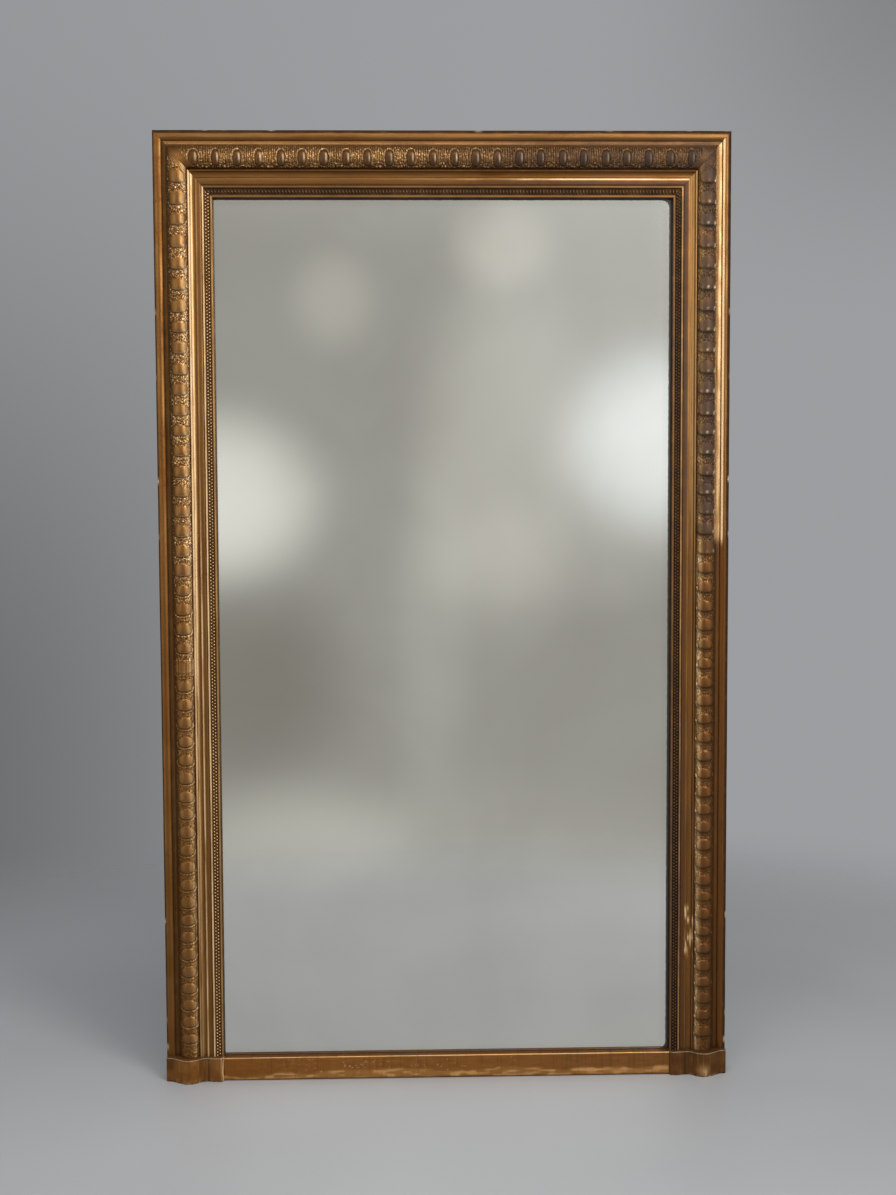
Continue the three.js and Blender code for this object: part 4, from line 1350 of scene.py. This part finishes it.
class MIRROR_OT_build_stage(Operator):
    """Sets the camera, the floor, the softboxes and the world."""

    bl_idname = "mirror.build_stage"
    bl_label = "Build stage"

    def execute(self, context):
        stage = context.scene.mirror_stage
        self.set_camera(context, stage)
        self.lay_floor(stage)
        self.light_world(context, stage)
        for name, place, size, tint in SOFTBOXES:
            power = getattr(stage, f"{name}_power")
            self.hang_softbox(f"{name}_softbox", place, size, power, tint)
        context.scene.view_settings.view_transform = "Standard"
        return {"FINISHED"}

    def set_camera(self, context, stage):
        """Stands the camera where the photo's camera stood, with its turn, tilt and roll."""
        data = bpy.data.cameras.new("camera")
        data.lens = stage.lens
        data.sensor_width = 36.0
        camera = link("camera", data)
        yaw, pitch, roll = stage.yaw, stage.pitch, stage.roll
        forward = Vector((
            math.sin(yaw) * math.cos(pitch), math.cos(yaw) * math.cos(pitch), -math.sin(pitch)
        ))
        level = Vector((math.cos(yaw), -math.sin(yaw), 0))
        upright = level.cross(forward)
        right = math.cos(roll) * level + math.sin(roll) * upright
        up = -math.sin(roll) * level + math.cos(roll) * upright
        turn = Matrix((right, up, -forward)).transposed()
        camera.matrix_world = Matrix.Translation(stage.camera_place) @ turn.to_4x4()
        context.scene.camera = camera

    def lay_floor(self, stage):
        """A round floor that fades out into the background."""
        bands, around = 24, 96
        first_radius, last_radius = 0.05, 3.2
        fade_start, fade_end = 1.25, 2.6
        radius = np.linspace(first_radius, last_radius, bands)[:, None]
        angle = np.arange(around) * 2 * math.pi / around
        points = np.stack([
            radius * np.cos(angle), radius * np.sin(angle), np.zeros((bands, around)),
        ], axis=-1)
        grid = np.arange(bands * around).reshape(bands, around)
        here, there = grid[:-1], grid[1:]
        quads = np.stack(
            [here, there, np.roll(there, -1, axis=1), np.roll(here, -1, axis=1)], axis=-1
        ).reshape(-1, 4)
        mesh = bpy.data.meshes.new("floor")
        mesh.from_pydata(points.reshape(-1, 3).tolist(), [], quads.tolist() + [grid[0].tolist()])
        mesh.update()
        floor = link("floor", mesh)
        material, tree, shader = new_material("pale floor", Roughness=0.55)
        where = add_node(tree, "ShaderNodeTexCoord").outputs["Object"]
        tint = spread(tree, noise(tree, where, 1.3, 2.0), 0.3, 0.7)
        pale = tuple(stage.floor)
        deep = tuple(0.93 * c for c in pale)
        tree.links.new(blend(tree, tint, pale, deep), shader.inputs["Base Color"])
        reach = add_node(tree, "ShaderNodeVectorMath", {0: where}, operation="LENGTH")
        solid = spread(tree, reach.outputs["Value"], fade_start, fade_end, 1.0, 0.0)
        tree.links.new(solid, shader.inputs["Alpha"])
        mesh.materials.append(material)

    def light_world(self, context, stage):
        """A grey studio: a backdrop with painted shade low on the left and in its upper right corner,
        and soft pale and dark places in front of the glass.
        """
        world = bpy.data.worlds.new("studio")
        world.use_nodes = True
        tree = world.node_tree
        background = tree.nodes["Background"]
        way = add_node(tree, "ShaderNodeTexCoord").outputs["Generated"]
        axes = add_node(tree, "ShaderNodeSeparateXYZ", {"Vector": way})
        across, ahead, upward = (axes.outputs[name] for name in "XYZ")
        grey = tuple(stage.backdrop)
        # The backdrop is painted darker low on the left and in its upper right corner, as shade.
        low_left = tuple(0.39 * c for c in grey)
        high_left = tuple(0.90 * c for c in grey)
        corner = tuple(0.66 * c for c in grey)
        left = blend(tree, spread(tree, upward, -0.17, 0.28), low_left, high_left)
        behind = blend(tree, spread(tree, across, -0.34, 0.10, 1.0, 0.0), grey, left)
        corner_shade = maths(
            tree, "MULTIPLY", spread(tree, across, 0.10, 0.30), spread(tree, upward, 0.08, 0.30)
        )
        behind = blend(tree, corner_shade, behind, corner)
        facing = spread(tree, ahead, -0.6, 0.1, 1.0, 0.0)
        shade = blend(tree, facing, behind, tuple(stage.room))
        for place, reach, tint, strength in STUDIO_PATCHES:
            glow = self.soft_patch(tree, across, upward, place, reach)
            glow = maths(tree, "MULTIPLY", glow, facing)
            lamp = blend(tree, glow, (0.0, 0.0, 0.0), tuple(abs(strength) * c for c in tint))
            shade = blend(tree, 1.0, shade, lamp, "ADD" if strength > 0 else "SUBTRACT")
        # The camera sees the backdrop, with its painted shade, on every side.
        seen = add_node(tree, "ShaderNodeLightPath").outputs["Is Camera Ray"]
        tree.links.new(blend(tree, seen, shade, behind), background.inputs["Color"])
        context.scene.world = world

    def soft_patch(self, tree, across, upward, place, reach):
        """A soft oval in the studio: 1 at its place, 0 from its reach outwards."""
        offsets = []
        for value, middle, half in ((across, place[0], reach[0]), (upward, place[1], reach[1])):
            share = maths(tree, "DIVIDE", maths(tree, "SUBTRACT", value, middle), half)
            offsets.append(maths(tree, "MULTIPLY", share, share))
        return maths(tree, "POWER", spread(tree, maths(tree, "ADD", *offsets), 0.0, 1.7, 1.0, 0.0), 1.7)

    def hang_softbox(self, name, place, size, power, tint):
        """Hangs a softbox that faces the middle of the mirror."""
        data = bpy.data.lights.new(name, "AREA")
        data.shape = "RECTANGLE"
        data.size, data.size_y = size
        data.energy = power
        data.color = tint
        lamp = link(name, data)
        lamp.location = place
        middle = Vector((0, 0, 1.0))
        aim = middle - lamp.location
        lamp.rotation_euler = aim.to_track_quat("-Z", "Y").to_euler()


# Name, place, size and tint of each softbox.
SOFTBOXES = (
    ("key", (1.5, -2.6, 2.2), (1.2, 1.6), (1.0, 0.97, 0.93)),
    ("fill", (-1.6, -2.6, 1.9), (1.4, 1.6), (0.96, 0.98, 1.0)),
    ("top", (0.2, -1.9, 3.3), (2.0, 0.9), (1.0, 0.97, 0.93)),
)
# Place, reach, tint and strength of each soft patch that the glass shows. Places and reaches are
# the x and z of a direction from the glass into the studio.
STUDIO_PATCHES = (
    ((0.72, 0.0), (0.32, 0.70), (1.0, 0.97, 0.92), 0.95),
    ((-0.72, 0.0), (0.32, 0.70), (0.97, 0.98, 1.0), 0.75),
    ((0.026, 0.05), (0.30, 0.34), (1.0, 0.99, 0.94), 0.03),
    ((0.0, 0.185), (0.25, 0.045), (1.0, 0.98, 0.92), 0.07),
    ((0.165, 0.12), (0.13, 0.17), (0.96, 1.0, 1.02), 0.16),
    ((0.062, 0.138), (0.032, 0.028), (1.0, 0.93, 0.80), 0.20),
    ((0.060, 0.020), (0.055, 0.115), (1.0, 0.97, 0.90), 0.17),
    ((0.097, -0.046), (0.085, 0.035), (1.0, 0.97, 0.92), 0.09),
    ((-0.038, 0.107), (0.026, 0.030), (1.0, 0.96, 0.86), 0.13),
    ((-0.110, -0.009), (0.066, 0.055), (1.0, 1.0, 0.96), 0.50),
    ((0.158, 0.022), (0.062, 0.060), (0.94, 1.0, 1.05), 0.58),
    ((-0.068, -0.233), (0.085, 0.058), (1.0, 1.0, 0.94), 0.20),
    ((0.020, -0.088), (0.025, 0.100), (1.0, 1.0, 0.95), 0.09),
    ((0.048, -0.235), (0.170, 0.060), (1.0, 0.97, 0.90), 0.08),
    ((-0.095, -0.121), (0.075, 0.065), (1.0, 1.0, 1.0), -0.12),
)


class MIRROR_OT_build_lips(Operator):
    """Runs the crowned outer lip round the frame."""

    bl_idname = "mirror.build_lips"
    bl_label = "Build lips"

    def execute(self, context):
        sizes = context.scene.mirror_moulding
        for member in MEMBERS:
            piece, u, along, _, front = run_strip(
                f"gilt_lip_{member}", member, lip_path(sizes), sizes.lip_step, self.dents
            )
            sharpen(piece, ARRIS_ANGLE)
            # The lip's outer edge is painted dark as shade, through its dirt, tone and toner masks; its
            # root beside the hollow is darkened too.
            dark_edge = {"left": 3.0, "right": 6.5, "head": 6.0}[member] * MM
            root = {"left": 0.75, "right": 0.15, "head": 0.45}[member]
            brown = 0.50 if member == "right" else 0.25
            outer = fall(u, dark_edge - 2 * MM, dark_edge + 1 * MM)
            inner = ramp(u, 14.8 * MM, 16.6 * MM)
            fields = 0.32 * ramp(drift(along, 46 * MM, 7 + len(member)), -0.2, 0.4)
            chip = ramp(patches(along, u, 6 * MM, 31), 0.86, 0.97) * fall(u, 2 * MM, 6 * MM)
            gild(
                piece, front,
                crevice=unit(0.86 * outer + root * inner),
                ridge=self.painted_lip_highlight(member, u, along) * (1 - outer) * (1 - inner),
                tone=unit(toned(member, u, along, brown) + fields + 0.4 * outer),
                smoke=unit(smoked(member, u, along, 0.0, 0.10) + 0.25 * outer),
                chip=chip,
            )
            mount(piece, "gilding", strip_gilding(member), f"outer_lip_{member}")
        return {"FINISHED"}

    def painted_lip_highlight(self, member, u, along):
        """A painted highlight on the lip: strong on its inner side and faint elsewhere at the right
        jamb's upper half, and a faint stripe along the head.
        """
        if member == "right":
            return (0.12 + 0.88 * ramp(u, 11 * MM, 13.2 * MM)) * ramp(along, *TONER_CHANGE)
        return {"left": 0.0, "head": 0.22}[member] * stripe(u, 10.5 * MM, 5 * MM)

    def dents(self, member, u, along, arc):
        """The lip wavers along its length and is knocked at its outer arris."""
        rim = fall(u, 0.5 * MM, 5 * MM)
        wave = drift(along, 70 * MM, 5 + len(member), 0.25 * MM)
        knocks = 0.3 * MM * ramp(patches(along, u, 9 * MM, 61), 0.88, 0.98) * rim
        return np.where(arc > 25 * MM, wave * 0.6 - knocks, -0.15 * MM)


class MIRROR_OT_carve_egg_bands(Operator):
    """Carves the hollow and the egg band of each member."""

    bl_idname = "mirror.carve_egg_bands"
    bl_label = "Carve egg bands"

    def execute(self, context):
        sizes = context.scene.mirror_moulding
        carving = context.scene.mirror_carving
        path = resample(band_path(sizes), carving.section_step)
        arc = path_length(path)
        arc_middle = float(arc[np.argmax(path[:, 1])])
        for number, member in enumerate(MEMBERS):
            seed = 100 + 10 * number
            relief = carve_eggs(carving, arc_middle, seed)
            piece, u, along, rise, front = run_strip(
                f"carved_egg_band_{member}", member, path, carving.carving_step, relief
            )
            crevice, ridge = relief_masks(rise, carving.depth)
            away = ramp(mitre_distance(member, u, along), MITRE_CALM, MITRE_CALM + 5 * MM)
            marks = egg_marks(member, carving, arc_middle, seed, u, along, arc)
            glints, shadows, ground = (away * mark for mark in marks)
            carved = ramp(u, 22 * MM, 30 * MM) * fall(u, 63 * MM, 67 * MM)
            grit = 2 * patches(along, arc + 0 * along, GRIT_SIZE, 400 + number) - 1
            speck = ground * carved * self.lustre(member, along)
            whole = fall(-rise, 0.15 * carving.depth, 0.6 * carving.depth)
            high = ramp(along, *TONER_CHANGE) if member == "right" else 1
            slope = fall(u, *OUTER_SLOPE)
            # Painted shade on the left jamb's outer slope and hollow and on the right jamb's lower outer
            # slope; on the right jamb's inner flank the dirt and shade are thinned.
            if member == "left":
                crevice = crevice + 0.40 * slope + 0.30 * fall(u, 20 * MM, 25 * MM)
            elif member == "right":
                crevice = crevice * (1 - 0.8 * ramp(u, 52 * MM, 58 * MM)) + 0.35 * slope * (1 - high)
            crevice = crevice + 0.55 * ramp(-grit, 0.15, 0.7) * ground * carved
            crevice = np.clip(np.maximum(crevice, shadows), 0, 0.92)
            # Painted highlights on the outer slope and the inner slope, rubbing on the eggs, and bright
            # grit specks.
            outer, inner, eggs = {
                "left": (0.0, 0.45, 0.12), "right": (0.70, 0.60, 0.0), "head": (0.10, 0.0, 0.0),
            }[member]
            worn = outer * slope * high + inner * ramp(u, 50 * MM, 63 * MM)
            worn = worn + eggs * (1 - ground) * carved + speck * ramp(grit, 0.25, 0.7)
            # The glints go into the chip mask as gesso-pale painted highlights.
            gild(
                piece, front, crevice=crevice,
                ridge=unit(self.lustre(member, along) * ridge + worn),
                tone=toned(member, u, along, 0.20), chip=unit(0.95 * glints),
                smoke=self.band_smoke(member, u, along, whole),
            )
            mount(piece, "gilding", strip_gilding(member, 0.45, 0.1), f"egg_band_{member}")
        return {"FINISHED"}

    def lustre(self, member, along):
        """How strong the rubbing and painted highlights on the carving's small ridges are, less towards
        the foot.
        """
        if member == "head":
            return 0.50 - 0.15 * ramp(along, -0.1, 0.3)
        low = fall(along, 0.6, 1.1)
        return 0.60 - 0.40 * low if member == "left" else 0.34 - 0.18 * low

    def band_smoke(self, member, u, along, whole):
        """The toner lies on the head's eggs and all over the right jamb, thinned by half on its upper
        outer slope to leave a painted highlight there.
        """
        if member == "head":
            base = smoked(member, u, along, 0.10, 0.62)
            eggs = whole * ramp(u, 30 * MM, 44 * MM) * (0.30 + 0.25 * ramp(along, -0.3, 0.3))
            return unit(base + eggs)
        if member == "left":
            return smoked(member, u, along, 0.06, 0.06)
        dark = 0.22 + 0.62 * ramp(along, 1.00, 1.10)
        bright = fall(u, *OUTER_SLOPE) * ramp(along, 1.04, 1.08)
        mottle = 0.2 * (patches(along, u, 30 * MM, 9) - 0.5)
        return unit(dark * (1 - 0.5 * bright) + mottle)


class MIRROR_OT_build_coves(Operator):
    """Runs the fillet, cove and ovolo round the frame."""

    bl_idname = "mirror.build_coves"
    bl_label = "Build coves"

    def execute(self, context):
        sizes = context.scene.mirror_moulding
        fillet_end = BAND_END + sizes.fillet_width
        arris = fillet_end + sizes.cove_width
        for member in MEMBERS:
            piece, u, along, _, front = run_strip(
                f"gilt_cove_{member}", member, cove_path(sizes), sizes.strip_step, self.waver
            )
            sharpen(piece, ARRIS_ANGLE)
            # The painted highlight on the outer part ends sooner but more softly on the left jamb.
            start, fade = (1 * MM, 7 * MM) if member == "left" else (9 * MM, 3 * MM)
            fillet = fall(u, fillet_end + start, fillet_end + start + fade)
            # The root under the torus is darkened, on the head as painted shade; the step before the
            # arris and the inner edge are darkened too.
            root_width = {"left": 1.0, "right": 2.0, "head": 5.0}[member] * MM
            root_darkening = {"left": 0, "right": 0.5, "head": 0.8}[member]
            step_darkening = {"left": 0.35, "right": 0.45, "head": 0.85}[member]
            root = fall(u, BAND_END, BAND_END + root_width)
            step = stripe(u, arris - 1.2 * MM, 1.6 * MM)
            edge = ramp(u, COVE_END - 2.0 * MM, COVE_END - 0.6 * MM)
            bead = stripe(u, arris + 1.6 * MM, 3.0 * MM)
            ovolo = ramp(u, arris + 1.5 * MM, arris + 4 * MM)
            cove_highlight, glow, dark = self.lines(member, u, along)
            gild(
                piece, front,
                crevice=unit(0.65 * edge + step_darkening * step + root_darkening * root),
                ridge=unit(cove_highlight * fillet + glow * bead),
                tone=unit(
                    toned(member, u, along, 0.10) + self.bare_patch(member, u, along)
                    + 0.35 * ovolo + self.shadow(member, u)
                ),
                smoke=unit(smoked(member, u, along, 0.0, 0.05) + dark * ovolo), chip=0 * u,
            )
            mount(piece, "gilding", strip_gilding(member), f"cove_strip_{member}")
        return {"FINISHED"}

    def lines(self, member, u, along):
        """How strong the painted highlights on the cove's outer part and the ovolo's arris are, and how
        dark the ovolo is.
        """
        if member == "head":
            right = ramp(along, -0.15, 0.30)
            return 0.0 * u, 0.12 + 0.75 * right, 0.10 + 0.45 * right
        if member == "left":
            upper = ramp(along, 0.2, 1.2)
            return 0.45 + 0.45 * upper, 0.75 - 0.40 * ramp(along, 0.9, 1.2), 0.05 + 0.10 * upper
        upper = ramp(along, 0.95, 1.25)
        rubbed_height, rubbed_half = 0.29, 0.06
        rubbed = ramp(stripe(along, rubbed_height, rubbed_half), 0, 0.4)
        rubbed = rubbed * ramp(patches(along, u, 4.5 * MM, 55), 0.50, 0.7)
        return 0.10 + 0.22 * upper + 0.6 * rubbed, 0.20 - 0.10 * upper + rubbed, 0.35 + 0.35 * upper

    def shadow(self, member, u):
        """The head's cove gets painted shade in its upper part, under the torus."""
        return 0.5 * fall(u, 70 * MM, 79 * MM) * (member == "head")

    def waver(self, member, u, along, arc):
        """The cove strip wavers a little along its length."""
        return drift(along, 90 * MM, 11 + len(member), 0.18 * MM) * ramp(arc, 5 * MM, 15 * MM)

    def bare_patch(self, member, u, along):
        """Red bole in the left jamb's cove at half height and on the head right of the middle."""
        if member == "left":
            return 0.95 * ramp(along, 0.985, 1.0) * fall(along, 1.055, 1.085)
        if member == "head":
            return 0.7 * ramp(along, 0.055, 0.075) * fall(along, 0.11, 0.14)
        return 0 * u


class MIRROR_OT_string_pearls(Operator):
    """Runs the sight moulding and lays its pearls."""

    bl_idname = "mirror.string_pearls"
    bl_label = "String pearls"

    def execute(self, context):
        sizes = context.scene.mirror_moulding
        pearl_start = COVE_END + sizes.sight_fillet_width
        pearl_end = pearl_start + sizes.pearl_band_width
        for member in MEMBERS:
            piece, u, along, _, front = run_strip(
                f"gilt_sight_moulding_{member}", member, sight_path(sizes), sizes.strip_step
            )
            sharpen(piece, ARRIS_ANGLE)
            sunk = ramp(u, pearl_start - 0.5 * MM, pearl_start + 0.6 * MM)
            sunk = sunk * fall(u, pearl_end - 0.6 * MM, pearl_end + 0.5 * MM)
            groove = fall(u, COVE_END + 0.6 * MM, COVE_END + 1.4 * MM)
            # The wall beside the glass is darkened as painted shade.
            wall = ramp(u, FACE_END - 1.0 * MM, FACE_END - 0.3 * MM)
            fillet = stripe(u, pearl_start - 1.9 * MM, 3.0 * MM)
            rim = stripe(u, pearl_end + 2.4 * MM, 2.2 * MM)
            # bright gives the painted highlights on the fillet beside the pearls and on the rim beside
            # the glass.
            shade, bright = {
                "left": (0.0, (1.0, 0.55)), "right": (0.60, (0.60, 0.30)), "head": (0.35, (0.12, 0.22)),
            }[member]
            gild(
                piece, front,
                crevice=unit(sunk * self.sunk_darkening(member, along) + 0.9 * wall + 0.5 * groove),
                ridge=unit(bright[0] * fillet + bright[1] * rim) * (1 - wall),
                tone=toned(member, u, along, 0.2),
                smoke=smoked(member, u, along, shade, shade), chip=0 * u,
            )
            mount(piece, "gilding", strip_gilding(member), f"sight_strip_{member}")
            mount(build_pearls(member), "gilding", strip_gilding(member, 0.45, 0.1))
        return {"FINISHED"}

    def sunk_darkening(self, member, along):
        """How dark the pearls' sunk band is; the left jamb's is lighter towards the foot."""
        cleaned = 0.45 + 0.20 * fall(along, 0.3, 1.1) if member == "left" else 0
        return 0.90 * (1 - cleaned)


class MIRROR_OT_build_feet(Operator):
    """Shapes the two foot blocks and the plinth rail."""

    bl_idname = "mirror.build_feet"
    bl_label = "Build feet"

    def execute(self, context):
        upright = (1.0, 1.0, 0.12)
        blocks = {
            "left": gilding("polished block gilding", upright, 0.5, 0.2, bump=0.5, polish=1.6),
            "right": gilding("block gilding", upright, 0.5, 0.2, bump=0.5),
        }
        rail = gilding("rail gilding", HEAD_GRAIN, 0.5, 0.2, bump=0.4, polish=1.9)
        for side_name, material in blocks.items():
            mount(build_foot_block(side_name), "toned_gilding", material, f"foot_block_{side_name}")
        mount(build_plinth_rail(), "toned_gilding", rail, "plinth_rail")
        return {"FINISHED"}


class MIRROR_OT_silver_plate(Operator):
    """Makes the ground edges and the old silvering of the glass plate."""

    bl_idname = "mirror.silver_plate"
    bl_label = "Silver plate"

    def execute(self, context):
        low, high = PLATE_LOW, PLATE_HIGH
        edge = 0.8 * MM
        levels = [(high.y, edge), (high.y - edge, 0.0), (low.y + edge, 0.0), (low.y, edge)]
        rows = []
        for y, inset in levels:
            x0, x1 = low.x + inset, high.x - inset
            z0, z1 = low.z + inset, high.z - inset
            rows.append([(x0, y, z0), (x1, y, z0), (x1, y, z1), (x0, y, z1)])
        piece = loft("silvered_plate", np.array(rows, float))
        piece.data.shade_flat()
        mount(piece, "silvered_glass", silvered_material(), "mirror_plate")
        return {"FINISHED"}


class MIRROR_OT_finish_core(Operator):
    """Gives the pine core, its pegs, the wedges and the backboards their wood."""

    bl_idname = "mirror.finish_core"
    bl_label = "Finish core"

    def execute(self, context):
        colours = context.scene.mirror_finish
        pine = tuple(colours.pine_light), tuple(colours.pine_dark)
        board = tuple(colours.board_light), tuple(colours.board_dark)
        oak = tuple(colours.oak_light), tuple(colours.oak_dark)
        dress("stile", wood("pine upright", *pine, (55.0, 55.0, 2.2), dust=0.35))
        rails = ("head_rail", "sill_rail")
        dress(rails, wood("pine level", *pine, (2.2, 55.0, 55.0), dust=0.35))
        dress("backboard", wood("board", *board, (2.0, 46.0, 46.0), dust=0.55, bump=0.8))
        dress("glazing_wedge", wood("wedge", *board, (20.0, 20.0, 20.0), dust=0.4))
        dress("peg", wood("oak", *oak, (160.0, 20.0, 160.0), dust=0.2))
        return {"FINISHED"}


class MIRROR_OT_forge_ironwork(Operator):
    """Gives the nails, straps, rings and screws their iron."""

    bl_idname = "mirror.forge_ironwork"
    bl_label = "Forge ironwork"

    def execute(self, context):
        dress(("board_nail", "hanger"), iron_material())
        return {"FINISHED"}


OPERATORS = (
    MIRROR_OT_build_stage,
    MIRROR_OT_build_lips,
    MIRROR_OT_carve_egg_bands,
    MIRROR_OT_build_coves,
    MIRROR_OT_string_pearls,
    MIRROR_OT_build_feet,
    MIRROR_OT_silver_plate,
    MIRROR_OT_finish_core,
    MIRROR_OT_forge_ironwork,
)
SETTINGS = {
    "mirror_moulding": MirrorMoulding,
    "mirror_carving": MirrorCarving,
    "mirror_finish": MirrorFinish,
    "mirror_stage": MirrorStage,
}


class MIRROR_PT_panel(Panel):
    """Lists the makers of the mirror's pieces and their sizes."""

    bl_label = "Pier mirror"
    bl_idname = "MIRROR_PT_panel"
    bl_space_type = "VIEW_3D"
    bl_region_type = "UI"
    bl_category = "Mirror"

    def draw(self, context):
        for operator in OPERATORS:
            self.layout.operator(operator.bl_idname)
        for name, group in SETTINGS.items():
            box = self.layout.box()
            for prop in group.__annotations__:
                box.prop(getattr(context.scene, name), prop)


def register():
    for cls in (*SETTINGS.values(), *OPERATORS, MIRROR_PT_panel):
        bpy.utils.register_class(cls)
    for name, group in SETTINGS.items():
        setattr(bpy.types.Scene, name, PointerProperty(type=group))


def unregister():
    for name in SETTINGS:
        delattr(bpy.types.Scene, name)
    for cls in reversed((*SETTINGS.values(), *OPERATORS, MIRROR_PT_panel)):
        bpy.utils.unregister_class(cls)


def main():
    register()
    for operator in OPERATORS:
        family, action = operator.bl_idname.split(".")
        getattr(getattr(bpy.ops, family), action)()


if __name__ == "__main__":
    main()
